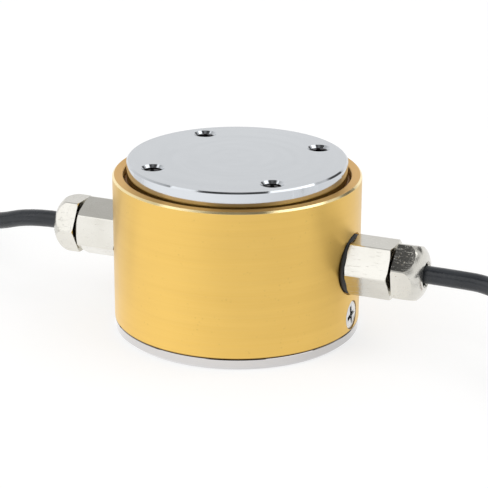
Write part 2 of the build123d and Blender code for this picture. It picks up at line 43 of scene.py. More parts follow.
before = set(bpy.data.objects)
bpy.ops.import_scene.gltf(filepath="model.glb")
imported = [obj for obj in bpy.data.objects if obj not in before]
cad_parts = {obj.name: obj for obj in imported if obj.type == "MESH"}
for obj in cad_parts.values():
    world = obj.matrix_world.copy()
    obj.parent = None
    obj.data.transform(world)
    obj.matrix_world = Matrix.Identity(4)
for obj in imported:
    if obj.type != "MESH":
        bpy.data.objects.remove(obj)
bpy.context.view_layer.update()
SIDES = {"right": 1, "left": -1}
CORE_COLOURS = {
    "red": (0.5, 0.02, 0.02),
    "black": (0.015, 0.015, 0.015),
    "green": (0.02, 0.22, 0.05),
    "white": (0.7, 0.7, 0.68),
}
MM = 0.001  # a millimetre in metres
PER_METRE = 1000.0  # millimetres in a metre


def corners_of(node):
    """Lowest and highest corner of a CAD node's box, in metres."""
    return [Vector(corner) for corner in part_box(node)]


# Places that the CAD nodes give
WASHER_LOW, WASHER_HIGH = corners_of("gland_washer_right")
SLEEVE_LOW, SLEEVE_HIGH = corners_of("housing_sleeve")
SCREW_LOW, SCREW_HIGH = corners_of("sleeve_screw_right")
SEAL_CORNERS = {name: corners_of(name) for name in ("base_seal_ring", "dust_seal_ring")}
BOARD_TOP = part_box("wiring_board_right")[1][2]
PLATE_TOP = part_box("elastic_body")[1][2]
BOARD_SCREW_LOW, BOARD_SCREW_HIGH = corners_of("board_screws")
RESISTOR_LOW, RESISTOR_HIGH = corners_of("trim_resistors")
GLAND_HEIGHT = (WASHER_LOW.z + WASHER_HIGH.z) / 2
SCREW_HEIGHT = (SCREW_LOW.z + SCREW_HIGH.z) / 2
SEAT = WASHER_LOW.x

# Sizes that several pieces or finishes share
HOLE_CIRCLE = 25.0 * MM  # radius on which the tapped holes lie
HOLE_WALL = 2.56 * MM  # just outside the bore of a tapped hole
GAP = 0.05 * MM  # air between pieces that fit in each other
OVERRUN = 1 * MM  # how far a cutter reaches beyond what it cuts
CLAW_SEAT = 0.6 * MM  # from the socket's floor to the claw and its rubber
COILS_FROM = 89 * MM  # where the coils begin, on both sides
COIL_STEP = math.radians(22.5)  # turn from one point of a coil to the next
BARE_SHARE = 0.6  # thickness of a core's bare tip, as a share of the core's

# Softboxes: direction as right, ahead and up in the view, width and height in metres, and watts
SOFTBOXES = {
    "left_softbox": ((-0.61, -0.38, 0.69), 1.02, 0.81, 3.15),
    "right_softbox": ((0.56, -0.12, 0.82), 0.85, 0.5, 2.1),
}

# The cables' points, as the part has them, with one more on the stretch that the right one holds straight
RIGHT_ROUTE = [
    (27, 0, 23),
    (51, 0, 23.05),
    (66, 0, 23),
    (74, 0, 22.75),
    (85.6, -4.4, 20.0),
    (94.8, -12.7, 19.3),
]
LEFT_ROUTE = [
    (-27, 0, 23),
    (-47, 0, 23.05),
    (-67, 0, 22.95),
    (-79.5, 0.8, 18.8),
    (-91.5, 5.0, 18.5),
    (-100.3, 12.4, 18.4),
]


# Points, colours and properties


def spoke(turn):
    """Level direction, turned from the X axis."""
    return Vector((math.cos(turn), math.sin(turn), 0))


def view_directions(azimuth):
    """Level directions to the right of the view and away from the camera."""
    right = spoke(azimuth)
    return right, Vector((-right.y, right.x, 0))


def mm(*values):
    """Point given in millimetres, in metres."""
    return Vector(values) * MM


def grey(level):
    """Colour with the same red, green and blue."""
    return (level, level, level)


def length(name, description, millimetres):
    """A length that can be set, in metres."""
    return bpy.props.FloatProperty(
        name=name, description=description, default=millimetres * MM, unit="LENGTH", precision=5
    )


def angle(name, description, degrees):
    """An angle that can be set."""
    return bpy.props.FloatProperty(
        name=name, description=description, default=math.radians(degrees), subtype="ANGLE"
    )


def whole(name, description, number):
    """A whole number that can be set."""
    return bpy.props.IntProperty(name=name, description=description, default=number, min=1)


def tint(name, description, *colour):
    """A colour that can be set."""
    return bpy.props.FloatVectorProperty(
        name=name, description=description, default=colour, subtype="COLOR", min=0, max=1
    )


class SensorGlandSizes(bpy.types.PropertyGroup):
    """Sizes of a cable gland, measured along its axis from the sleeve and round that axis."""

    flats: length("Hexagon", "Across the flats of body and nut", 15)
    body_start: length("Body start", "Where the hexagon meets the washer", 1.3)
    body_end: length("Body end", "Where the hexagon stops", 13.6)
    body_cone: length("Body cone", "Drop of the turned cone at both ends of the hexagon", 0.9)
    shank: length("Shank", "Length of the thread inside the sleeve", 5.4)
    nut_start: length("Nut start", "Where the nut begins", 14.5)
    nut_end: length("Nut end", "Where the nut's nose ends", 22.4)
    nose: length("Nose radius", "Roundness of the nut's nose", 5.3)
    bore: length("Bore", "Way for the cable", 6.4)
    socket: length("Socket", "Bore that holds the claw", 9.6)
    socket_start: length("Socket floor", "Where the socket begins", 10.3)
    socket_end: length("Socket mouth", "Where the thread and its socket end", 18.5)
    lip: length("Lip", "Thickness of the nut round its mouth", 1.1)
    thread: length("Thread", "Outside of the M12 thread", 11.9)
    pitch: length("Pitch", "Pitch of the thread", 1.5)
    claw: length("Claw", "Outside of the claw", 9.5)
    claw_wall: length("Claw wall", "Thickness of the claw's fingers", 0.75)
    washer: length("Washer", "Radius of the rubber washer", 8.4)
    edge: length("Edge", "Width of the broken edges", 0.22)
    right_body_turn: angle("Right body turn", "Turn of the right hexagon", 1.6)
    left_body_turn: angle("Left body turn", "Turn of the left hexagon", 35)
    right_nut_turn: angle("Right nut turn", "Turn of the right nut", 41)
    left_nut_turn: angle("Left nut turn", "Turn of the left nut", 0.5)


class SensorCableSizes(bpy.types.PropertyGroup):
    """Sizes of the cables and of the coils that they are put away in."""

    diameter: length("Cable diameter", "Outside of the jacket", 5)
    coil_radius: length("Coil radius", "Middle of the coil's turns", 25)
    coil_floor: length("Coil height", "Underside of the coil, on its strap", 0.8)
    tail: length("Tail", "Straight end that leaves the coil", 30)
    core: length("Core diameter", "Outside of a core's insulation", 1.2)
    core_offset: length("Core offset", "Distance of a core from the cable's middle, both ways", 0.95)
    strap: length("Strap thickness", "Thickness of the coil's strap", 0.78)
    strap_width: length("Strap width", "Width of the coil's strap", 4)
    coil_across: whole("Turns across", "Turns side by side", 3)
    coil_layers: whole("Layers", "Layers of turns", 4)


class SensorInsideSizes(bpy.types.PropertyGroup):
    """Sizes of what is inside, on the wiring boards and at the gauges."""

    screw_circle: length("Screw circle", "Radius on which the board screws stand", 23.007)
    resistor_circle: length("Resistor circle", "Radius on which the resistors lie", 26)
    pad_distance: length("Pad distance", "Row of pads that the cores are soldered to", 21.214)
    pad_pitch: length("Pad pitch", "Distance between two of these pads", 4)
    landing_circle: length("Landing circle", "Radius at which the gauge wires reach the boards", 18.114)
    tab_height: length("Tab height", "Height of the gauges' solder tabs", 23.4)
    tab_face: length("Tab face", "Distance of the tabs from the middle", 8.5)
    tab_offset: length("Tab offset", "Distance of a tab from the gauge's middle line", 1.6)
    fine_wire: length("Fine wire", "Outside of a gauge wire", 0.4)


class SensorFinishes(bpy.types.PropertyGroup):
    """Colours of the finishes."""

    gold: tint("Sleeve", "Gold anodised aluminium", 0.81, 0.535, 0.14)
    steel: tint("Body", "Ground and polished steel", 0.62, 0.645, 0.675)
    nickel: tint("Glands", "Nickel plate", 0.72, 0.705, 0.655)
    screw: tint("Screws", "Plain stainless steel", 0.78, 0.78, 0.77)
    jacket: tint("Jacket", "Cable jacket", 0.015, 0.018, 0.023)
    rubber: tint("Rubber", "Washers and seals", 0.012, 0.012, 0.012)
    board: tint("Board", "Solder resist of the wiring boards", 0.02, 0.16, 0.06)
    copper: tint("Copper", "Enamelled wire", 0.8, 0.38, 0.16)


class SensorStageSizes(bpy.types.PropertyGroup):
    """Camera, lights and floor."""

    azimuth: angle("Azimuth", "Turn of the camera round the sensor", 23)
    elevation: angle("Elevation", "Camera's angle above the floor", 22.51)
    distance: length("Distance", "From the camera to the middle of the underside", 534.88)
    aim_right: length("Aim right", "How far right of the middle the camera aims", 2.0)
    aim_up: length("Aim up", "How far above the middle the camera aims", 22.3)
    roll: angle("Roll", "Tilt of the picture", 0.164)
    lens: bpy.props.FloatProperty(name="Lens", description="Focal length in mm", default=136.6, min=1)
    lamps_away: length("Lamps away", "From the softboxes to the sensor", 1200)
    floor_reach: length("Floor reach", "From the middle of the floor to its sides", 4000)
    floor_drop: length("Floor drop", "How far the floor lies under the sensor", 0.02)
    floor_colour: tint("Floor", "Pale floor", 0.93, 0.93, 0.93)


# Shader building


class Value:
    """A number that changes over a surface, such as a mask or a distance. Sums on it add Math nodes."""

    def __init__(self, tree, socket):
        self.tree = tree
        self.socket = socket

    def sum(self, operation, *others):
        """One sum on this value and others."""
        return calculate(self.tree, operation, self, *others)

    def __add__(self, other):
        return self.sum("ADD", other)

    def __sub__(self, other):
        return self.sum("SUBTRACT", other)

    def __rsub__(self, other):
        return calculate(self.tree, "SUBTRACT", other, self)

    def __mul__(self, other):
        return self.sum("MULTIPLY", other)

    def __truediv__(self, other):
        return self.sum("DIVIDE", other)

    def __abs__(self):
        return self.sum("ABSOLUTE")

    def __lt__(self, other):
        return self.sum("LESS_THAN", other)

    def __gt__(self, other):
        return self.sum("GREATER_THAN", other)

    def larger(self, other):
        """The larger of this and another value; of two masks, where either shows."""
        return self.sum("MAXIMUM", other)

    def zigzag(self, reach):
        """Up and down between 0 and a reach."""
        return self.sum("PINGPONG", reach)

    def turn(self, other):
        """Angle of a point with this value along Y and the other along X."""
        return self.sum("ARCTAN2", other)

    def range(self, low, high, new_low=0.0, new_high=1.0):
        """This value stretched from one range to another and held inside it."""
        values = {0: self, 1: low, 2: high, 3: new_low, 4: new_high}
        return read_node(self.tree, "ShaderNodeMapRange", 0, values)

    def between(self, least, most):
        """This mask stretched between two values."""
        return self.range(0.0, 1.0, least, most)


def feed(tree, socket, value):
    """Give a socket a number or a colour, or link what another node puts out to it."""
    if isinstance(value, Value):
        value = value.socket
    if isinstance(value, bpy.types.NodeSocket):
        tree.links.new(value, socket)
    else:
        socket.default_value = value


def add_node(tree, kind, values=None, **settings):
    """Add a shader node with its settings, and feed its sockets."""
    made = tree.nodes.new(kind)
    for name, setting in settings.items():
        setattr(made, name, setting)
    for socket, value in (values or {}).items():
        feed(tree, made.inputs[socket], value)
    return made


def read_node(tree, kind, output=0, values=None, **settings):
    """Add a shader node and take one value that it puts out."""
    return Value(tree, add_node(tree, kind, values, **settings).outputs[output])


def calculate(tree, operation, *values):
    """Result of one sum on one, two or three values."""
    return read_node(tree, "ShaderNodeMath", 0, dict(enumerate(values)), operation=operation)


def blend_colours(tree, factor, first, second):
    """Mix of two colours."""
    values = {0: factor}
    for socket, value in ((6, first), (7, second)):
        values[socket] = value if isinstance(value, bpy.types.NodeSocket) else (*value[:3], 1.0)
    return add_node(tree, "ShaderNodeMix", values, data_type="RGBA").outputs[2]


def distance(first, second):
    """Length of the way along two lines at right angles."""
    return (first * first + second * second).sum("SQRT")


def axes_of(tree, vector):
    """The three parts of a point or a direction."""
    return [Value(tree, part) for part in add_node(tree, "ShaderNodeSeparateXYZ", {0: vector}).outputs]


def part_along(tree, vector, direction):
    """How far a vector goes along a direction."""
    values = {0: vector, 1: direction}
    return read_node(tree, "ShaderNodeVectorMath", "Value", values, operation="DOT_PRODUCT")


def noise(tree, vector, scale, detail, distortion=0.0):
    """Cloudy pattern between 0 and 1."""
    values = {"Vector": vector, "Scale": scale, "Detail": detail, "Distortion": distortion}
    return read_node(tree, "ShaderNodeTexNoise", 0, values)


def ray_masks(tree):
    """Masks of the rays from the camera, from mirrors and through glass."""
    path = add_node(tree, "ShaderNodeLightPath").outputs
    return [Value(tree, path["Is " + kind + " Ray"]) for kind in ("Camera", "Glossy", "Transmission")]


def new_group(name, inputs, outputs):
    """Node group that takes coordinates and named numbers; also what it is given and its output sockets."""
    group = bpy.data.node_groups.new(name, "ShaderNodeTree")
    group.interface.new_socket(name="Vector", in_out="INPUT", socket_type="NodeSocketVector")
    for socket, default in inputs.items():
        made = group.interface.new_socket(name=socket, in_out="INPUT", socket_type="NodeSocketFloat")
        made.default_value = default
    for socket in outputs:
        group.interface.new_socket(name=socket, in_out="OUTPUT", socket_type="NodeSocketFloat")
    given = {socket.name: Value(group, socket) for socket in group.nodes.new("NodeGroupInput").outputs}
    return group, given, group.nodes.new("NodeGroupOutput").inputs


def make_turning_group():
    """Fine marks that a lathe leaves round the Z axis of the coordinates it is given."""
    inputs = {"Lines per mm": 6.0, "Wander": 0.4}
    group, given, end = new_group("turning_marks", inputs, ["Height", "Bands"])
    x, y, z = axes_of(group, given["Vector"])
    radius = distance(x, y)
    turn = y.turn(x)
    fine = given["Lines per mm"] * PER_METRE
    for output, scale, wander, detail in (("Height", fine, given["Wander"], 3.0), ("Bands", 420.0, 0.9, 2.0)):
        place = {0: radius * scale, 1: turn * wander, 2: z * scale}
        vector = add_node(group, "ShaderNodeCombineXYZ", place).outputs[0]
        feed(group, end[output], noise(group, vector, 1.0, detail))


def make_handling_group():
    """Smudges from hands and cloths, and small dents and hair scratches."""
    group, given, end = new_group("handling_marks", {"Size": 60.0}, ["Smudge", "Specks", "Scratches"])
    vector, size = given["Vector"], given["Size"]
    feed(group, end["Smudge"], noise(group, vector, size, 4.0, 0.6).range(0.35, 0.7))
    dots = read_node(group, "ShaderNodeTexVoronoi", "Distance", {"Vector": vector, "Scale": size * 26.0})
    sparse = noise(group, vector, size * 9.0, 2.0).range(0.52, 0.66)
    feed(group, end["Specks"], dots.range(0.1, 0.3, 1.0, 0.0) * sparse)
    strokes = {"Vector": vector, "Rotation": (0.4, 0.7, 0.3), "Scale": (300.0, 5200.0, 5200.0)}
    stretched = add_node(group, "ShaderNodeMapping", strokes).outputs[0]
    feed(group, end["Scratches"], noise(group, stretched, 1.0, 1.0).range(0.64, 0.7))


def make_grain_group():
    """Fine pebble of moulded rubber, plastic and lacquer."""
    group, given, end = new_group("moulded_grain", {"Size": 2500.0}, ["Height", "Patches"])
    feed(group, end["Height"], noise(group, given["Vector"], given["Size"], 3.0))
    feed(group, end["Patches"], noise(group, given["Vector"], 190.0, 2.0).range(0.3, 0.7))


class Finish:
    """A material being made: its tree, its shader and its coordinates."""

    def __init__(self, name, colour, roughness, metallic=0.0):
        self.material = bpy.data.materials.new(name)
        self.material.use_nodes = True
        self.tree = self.material.node_tree
        self.shader = self.tree.nodes["Principled BSDF"]
        self.colour = tuple(colour)[:3]
        self.set("Base Color", (*self.colour, 1.0))
        self.set("Roughness", roughness)
        self.set("Metallic", metallic)
        self.place = add_node(self.tree, "ShaderNodeTexCoord").outputs["Object"]

    def set(self, socket, value):
        """Set or link one socket of the shader."""
        feed(self.tree, self.shader.inputs[socket], value)

    def group(self, name, vector=None, **values):
        """Place one of the shared groups here; the values that it puts out."""
        made = add_node(self.tree, "ShaderNodeGroup", node_tree=bpy.data.node_groups[name])
        feed(self.tree, made.inputs["Vector"], vector or self.place)
        for socket, value in values.items():
            made.inputs[socket.replace("_", " ")].default_value = value
        return {output.name: Value(self.tree, output) for output in made.outputs}

    def axes(self, vector=None):
        """The three parts of the coordinates."""
        return axes_of(self.tree, vector or self.place)

    def shade(self, factor, other, first=None):
        """Mix the plain colour, or another one, with a second by a mask."""
        return blend_colours(self.tree, factor, first or self.colour, other)

    def bump(self, height, depth, strength):
        """Raise the surface by a height between 0 and 1."""
        values = {"Height": height, "Distance": depth, "Strength": strength}
        self.set("Normal", add_node(self.tree, "ShaderNodeBump", values).outputs[0])

    def roughen(self, size, depth, strength=0.5):
        """Raise fine grain of a size on the surface; the grain's height and patches."""
        grain = self.group("moulded_grain", Size=size)
        self.bump(grain["Height"], depth, strength)
        return grain


def paint(thing, *materials):
    """Give materials to an object in place of those it has."""
    thing.data.materials.clear()
    for material in materials:
        thing.data.materials.append(material)


# Mesh building


def new_piece(name, shape):
    """Object at the origin from a bmesh, smooth but for its sharp edges; the bmesh is freed."""
    mesh = bpy.data.meshes.new(name)
    shape.to_mesh(mesh)
    shape.free()
    piece = bpy.data.objects.new(name, mesh)
    bpy.context.collection.objects.link(piece)
    smooth_shade(piece)
    return piece


def smooth_shade(piece):
    """Shade smooth, but for the edges that are bent by more than 25 degrees."""
    piece.data.shade_smooth()
    piece.data.set_sharp_from_angle(angle=math.radians(25))


def add_spin(shape, profile, steps, turn=0.0):
    """Spin a profile of (along, radius) pairs round the X axis into a closed surface."""
    before = set(shape.faces)
    start = Vector((0, math.cos(turn), math.sin(turn)))
    corners = [shape.verts.new(Vector((along, 0, 0)) + start * radius) for along, radius in profile]
    edges = [shape.edges.new(pair) for pair in zip(corners, corners[1:])]
    bmesh.ops.spin(
        shape,
        geom=corners + edges,
        cent=(0, 0, 0),
        axis=(1, 0, 0),
        angle=2 * math.pi,
        steps=steps,
        use_merge=True,
    )
    made = [face for face in shape.faces if face not in before]
    points = list({corner for face in made for corner in face.verts})
    bmesh.ops.remove_doubles(shape, verts=points, dist=1e-7)
    made = [face for face in shape.faces if face not in before]
    bmesh.ops.recalc_face_normals(shape, faces=made)


def spun_piece(name, profile, steps=128):
    """Piece from one spun profile round the X axis."""
    shape = bmesh.new()
    add_spin(shape, profile, steps)
    return new_piece(name, shape)


def add_block(shape, size, middle=(0, 0, 0)):
    """Add a block to a shape; its corners."""
    corners = bmesh.ops.create_cube(shape, size=1.0)["verts"]
    bmesh.ops.scale(shape, vec=size, verts=corners)
    bmesh.ops.translate(shape, vec=middle, verts=corners)
    return corners


def turn_points(shape, corners, angle, axis):
    """Turn corners round an axis through the origin."""
    bmesh.ops.rotate(shape, cent=(0, 0, 0), matrix=Matrix.Rotation(angle, 3, axis), verts=corners)


def bevel(shape, geom, width, segments=2, affect="EDGES"):
    """Break edges or corners of a shape."""
    bmesh.ops.bevel(
        shape, geom=geom, offset=width, affect=affect, segments=segments, profile=0.5, material=-1
    )


def edges_at(corners):
    """The edges that end at these corners."""
    return list({seam for corner in corners for seam in corner.link_edges})


def box_piece(name, size, middle=(0, 0, 0), tilt=0.0):
    """Block used for cutting, tilted round the X axis."""
    shape = bmesh.new()
    turn_points(shape, add_block(shape, size, middle), tilt, "X")
    return new_piece(name, shape)


def combine(piece, tool, operation):
    """Cut or intersect a piece with another, which is used up."""
    change = piece.modifiers.new("combine", "BOOLEAN")
    change.operation = operation
    change.solver = "EXACT"
    change.object = tool
    bpy.context.view_layer.update()
    finished = bpy.data.meshes.new_from_object(piece.evaluated_get(bpy.context.evaluated_depsgraph_get()))
    piece.modifiers.clear()
    old = piece.data
    piece.data = finished
    bpy.data.meshes.remove(old)
    used = tool.data
    bpy.data.objects.remove(tool)
    bpy.data.meshes.remove(used)
    smooth_shade(piece)
    return piece


def settle(piece, matrix):
    """Move a piece's mesh, so that its object stays at the origin."""
    piece.data.transform(matrix)
    piece.data.update()


def gland_matrix(sign):
    """From a gland's own axis along X to its place; the left one is turned half round the Y axis."""
    place = Matrix.Translation((sign * SEAT, 0, GLAND_HEIGHT))
    return place if sign > 0 else place @ Matrix.Rotation(math.pi, 4, "Y")


def thread_profile(crest, root, start, stop, pitch):
    """Zigzag of an outside thread between two ends."""
    turns = max(1, round((stop - start) / pitch))
    pitch = (stop - start) / turns
    points = []
    for number in range(turns):
        base = start + number * pitch
        points += [(base, root), (base + 0.42 * pitch, crest), (base + 0.58 * pitch, crest)]
    return points + [(stop, root)]


def hexagon_piece(name, corner, start, stop, turn, edge):
    """Hexagonal bar along X with its long edges broken."""
    shape = bmesh.new()
    add_spin(shape, [(start, 0), (start, corner), (stop, corner), (stop, 0)], steps=6, turn=turn)
    half = (stop - start) / 2
    long_edges = [seam for seam in shape.edges if abs(seam.verts[0].co.x - seam.verts[1].co.x) > half]
    bevel(shape, long_edges, edge, segments=1)
    return new_piece(name, shape)


def arc_points(centre, radius, first, last, steps):
    """Points on an arc, in degrees from the along axis towards the radius."""
    points = []
    for step in range(steps + 1):
        turn = math.radians(first + (last - first) * step / steps)
        points.append((centre[0] + radius * math.cos(turn), centre[1] + radius * math.sin(turn)))
    return points


def nurbs_line(name, points, thickness, detail=4):
    """Smooth round line whose control points are given."""
    curve = bpy.data.curves.new(name, "CURVE")
    curve.dimensions = "3D"
    curve.bevel_depth = thickness / 2
    curve.bevel_resolution = detail
    curve.resolution_u = 6
    curve.use_fill_caps = True
    line = bpy.data.objects.new(name, curve)
    bpy.context.collection.objects.link(line)
    add_run(line, points)
    return line


def add_run(line, points, material=0, swell=1.0):
    """One more smooth run in a line's curve."""
    spline = line.data.splines.new("NURBS")
    spline.points.add(len(points) - 1)
    for target, point in zip(spline.points, points):
        target.co = (*point, 1.0)
        target.radius = swell
    spline.order_u = 3
    spline.use_endpoint_u = True
    spline.material_index = material


def keep(piece, slot, materials, *nodes):
    """Paint a piece, and let it ride on the object in place of its CAD nodes."""
    paint(piece, *materials)
    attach(piece, "root")
    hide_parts(*nodes)


# The coils


def smooth_step(value):
    """0 before, 1 after and a gentle rise between."""
    value = min(max(value, 0.0), 1.0)
    return value * value * (3 - 2 * value)


def coil_slots(sizes):
    """Radius and height of each turn, from the top layer's outer turn down, there and back."""
    slots = []
    half = (sizes.coil_across - 1) / 2
    for layer in range(sizes.coil_layers):
        height = sizes.coil_floor + sizes.diameter * (sizes.coil_layers - layer - 0.5)
        steps = range(sizes.coil_across)
        for step in steps if layer % 2 == 0 else reversed(steps):
            slots.append((sizes.coil_radius + sizes.diameter * (half - step), height))
    return slots


def next_pass(turn, start):
    """The first time from a start on that a turn comes round."""
    while turn < start:
        turn += 2 * math.pi
    return turn


def coil_points(sizes, centre, start_angle, sign):
    """Control points of the coil's turns and of the tail that leaves them."""
    shift_width = math.radians(100)
    drop_delay = math.radians(105)
    slots = coil_slots(sizes)
    first_shift = next_pass(math.radians(100 if sign > 0 else 280), start_angle)
    last_shift_end = first_shift + 2 * math.pi * (len(slots) - 2) + shift_width
    stop_angle = next_pass(math.radians(90 if sign > 0 else 270), last_shift_end)
    steps = round((stop_angle - start_angle) / COIL_STEP)
    step = (stop_angle - start_angle) / steps
    # The curve cuts inside its control points, so they stand farther out
    reach = 1 / (0.75 + 0.25 * math.cos(step))
    points = []
    for number in range(steps):
        turned = start_angle + (number + 0.5) * step
        radius, height = slots[0]
        for turn, (before, after) in enumerate(zip(slots, slots[1:])):
            changes_layer = abs(after[1] - before[1]) > 1e-6
            begin = first_shift + 2 * math.pi * turn + (drop_delay if changes_layer else 0.0)
            part = smooth_step((turned - begin) / shift_width)
            radius += (after[0] - before[0]) * part
            height += (after[1] - before[1]) * part
        points.append(centre + spoke(turned) * radius * reach + Vector((0, 0, height)))
    heading = Vector((-math.sin(stop_angle), math.cos(stop_angle), 0))
    leave = centre + spoke(stop_angle) * slots[-1][0]
    leave.z = slots[-1][1]
    return points + [leave + heading * sizes.tail * 0.3, leave + heading * sizes.tail]


def coil_entry(sizes, route):
    """Middle of the coil, the angle at which the cable runs onto its outer turn, and where it does."""
    turn = sizes.coil_radius + sizes.diameter * (sizes.coil_across - 1) / 2
    gap = 0.1 * MM
    stub = math.sqrt((turn + sizes.diameter + gap) ** 2 - turn**2)
    heading = (route[-1] - route[-2]).normalized()
    level = Vector((heading.x, heading.y, 0)).normalized()
    meeting = route[-1] + heading * stub
    centre = Vector((meeting.x - level.y * turn, meeting.y + level.x * turn, 0))
    return centre, math.atan2(meeting.y - centre.y, meeting.x - centre.x), meeting


def cable_route(sign):
    """A cable's points in metres."""
    return [mm(*point) for point in (RIGHT_ROUTE if sign > 0 else LEFT_ROUTE)]


# Materials that several operators use


def rubber_material(colours):
    """Moulded black rubber with dust in its pores."""
    if "moulded_rubber" in bpy.data.materials:
        return bpy.data.materials["moulded_rubber"]
    rubber = Finish("moulded_rubber", colours.rubber, 0.55)
    grain = rubber.roughen(2200.0, 0.04 * MM)
    # Painted light: brown on the upper seal, in the gap between plate and sleeve, stands in for light that
    # the gold sleeve throws there
    upper = rubber.axes()[2] > SEAL_CORNERS["dust_seal_ring"][0].z
    pores = rubber.shade(grain["Patches"].between(0, 0.6), (0.03, 0.029, 0.028))
    rubber.set("Base Color", rubber.shade(upper * 0.85, (0.4, 0.2, 0.07), pores))
    rubber.set("Roughness", grain["Height"].range(0.3, 0.7, 0.45, 0.7))
    return rubber.material


# Operators, one for each piece or group of like pieces


class SENSOR_OT_camera(bpy.types.Operator):
    """Place the camera where the photograph was taken from"""

    bl_idname = "sensor.camera"
    bl_label = "Camera"

    def execute(self, context):
        sizes = context.scene.sensor_stage
        right, ahead = view_directions(sizes.azimuth)
        back = Vector((0, 0, math.sin(sizes.elevation))) - ahead * math.cos(sizes.elevation)
        up = back.cross(right)
        data = bpy.data.cameras.new("sensor_camera")
        data.lens = sizes.lens
        data.sensor_width = 36
        data.clip_start = 0.01
        data.clip_end = 20
        camera = bpy.data.objects.new("sensor_camera", data)
        context.collection.objects.link(camera)
        camera.location = back * sizes.distance
        look = (right * sizes.aim_right + up * sizes.aim_up - camera.location).normalized()
        camera_up = (right + up * math.tan(sizes.roll)).normalized().cross(look).normalized()
        camera_right = look.cross(camera_up).normalized()
        camera.rotation_mode = "QUATERNION"
        camera.rotation_quaternion = Matrix((camera_right, camera_up, -look)).transposed().to_quaternion()
        context.scene.camera = camera
        return {"FINISHED"}


class SENSOR_OT_straps(bpy.types.Operator):
    """Tie each coil with a woven strap"""

    bl_idname = "sensor.straps"
    bl_label = "Coil straps"

    def execute(self, context):
        sizes = context.scene.sensor_cables
        woven = Finish("woven_strap", (0.03, 0.03, 0.032), 0.85)
        weave = read_node(woven.tree, "ShaderNodeTexChecker", "Fac", {"Vector": woven.place, "Scale": 2600.0})
        grain = woven.group("moulded_grain", Size=3000.0)["Height"]
        woven.set("Base Color", woven.shade(grain.range(0.35, 0.65), (0.075, 0.075, 0.08)))
        woven.set("Sheen Weight", 0.4)
        woven.bump(weave + grain, 0.12 * MM, 0.7)
        tall = sizes.coil_layers * sizes.diameter
        tied_at = {"right": -25, "left": 155}
        for side, sign in SIDES.items():
            centre = coil_entry(sizes, cable_route(sign))[0]
            strap = self.make_strap(sizes, sizes.coil_across * sizes.diameter / 2, tall)
            strap.name = "coil_strap_" + side
            turn = Matrix.Rotation(math.radians(tied_at[side]), 4, "Z")
            lift = Matrix.Translation((sizes.coil_radius, 0, sizes.coil_floor + tall / 2))
            settle(strap, Matrix.Translation(centre) @ turn @ lift @ Matrix.Rotation(math.pi / 2, 4, "X"))
            keep(strap, "tie", [woven.material], "coil_tie_" + side)
        return {"FINISHED"}

    def make_strap(self, sizes, half, tall):
        """Band round the bundle, with its end folded back over it on top."""
        shape = bmesh.new()
        bmesh.ops.create_grid(shape, x_segments=1, y_segments=1, size=1.0)
        bmesh.ops.scale(shape, vec=(half, tall / 2, 1), verts=shape.verts)
        bevel(shape, shape.verts[:], sizes.diameter / 2, 8, "VERTICES")
        bmesh.ops.delete(shape, geom=shape.faces[:], context="FACES_ONLY")
        band = bmesh.ops.extrude_edge_only(shape, edges=shape.edges[:])
        moved = [item for item in band["geom"] if isinstance(item, bmesh.types.BMVert)]
        bmesh.ops.translate(shape, vec=(0, 0, sizes.strap_width), verts=moved)
        bmesh.ops.translate(shape, vec=(0, 0, -sizes.strap_width / 2), verts=shape.verts)
        bmesh.ops.recalc_face_normals(shape, faces=shape.faces)
        bmesh.ops.solidify(shape, geom=shape.faces[:], thickness=sizes.strap)
        folded_end = mm(9.0, 0.9, 4.6)
        flap = add_block(shape, folded_end, (0, tall / 2 + sizes.strap + folded_end.y / 2, 0))
        bevel(shape, edges_at(flap), 0.3 * MM)
        bmesh.ops.recalc_face_normals(shape, faces=shape.faces)
        return new_piece("strap", shape)


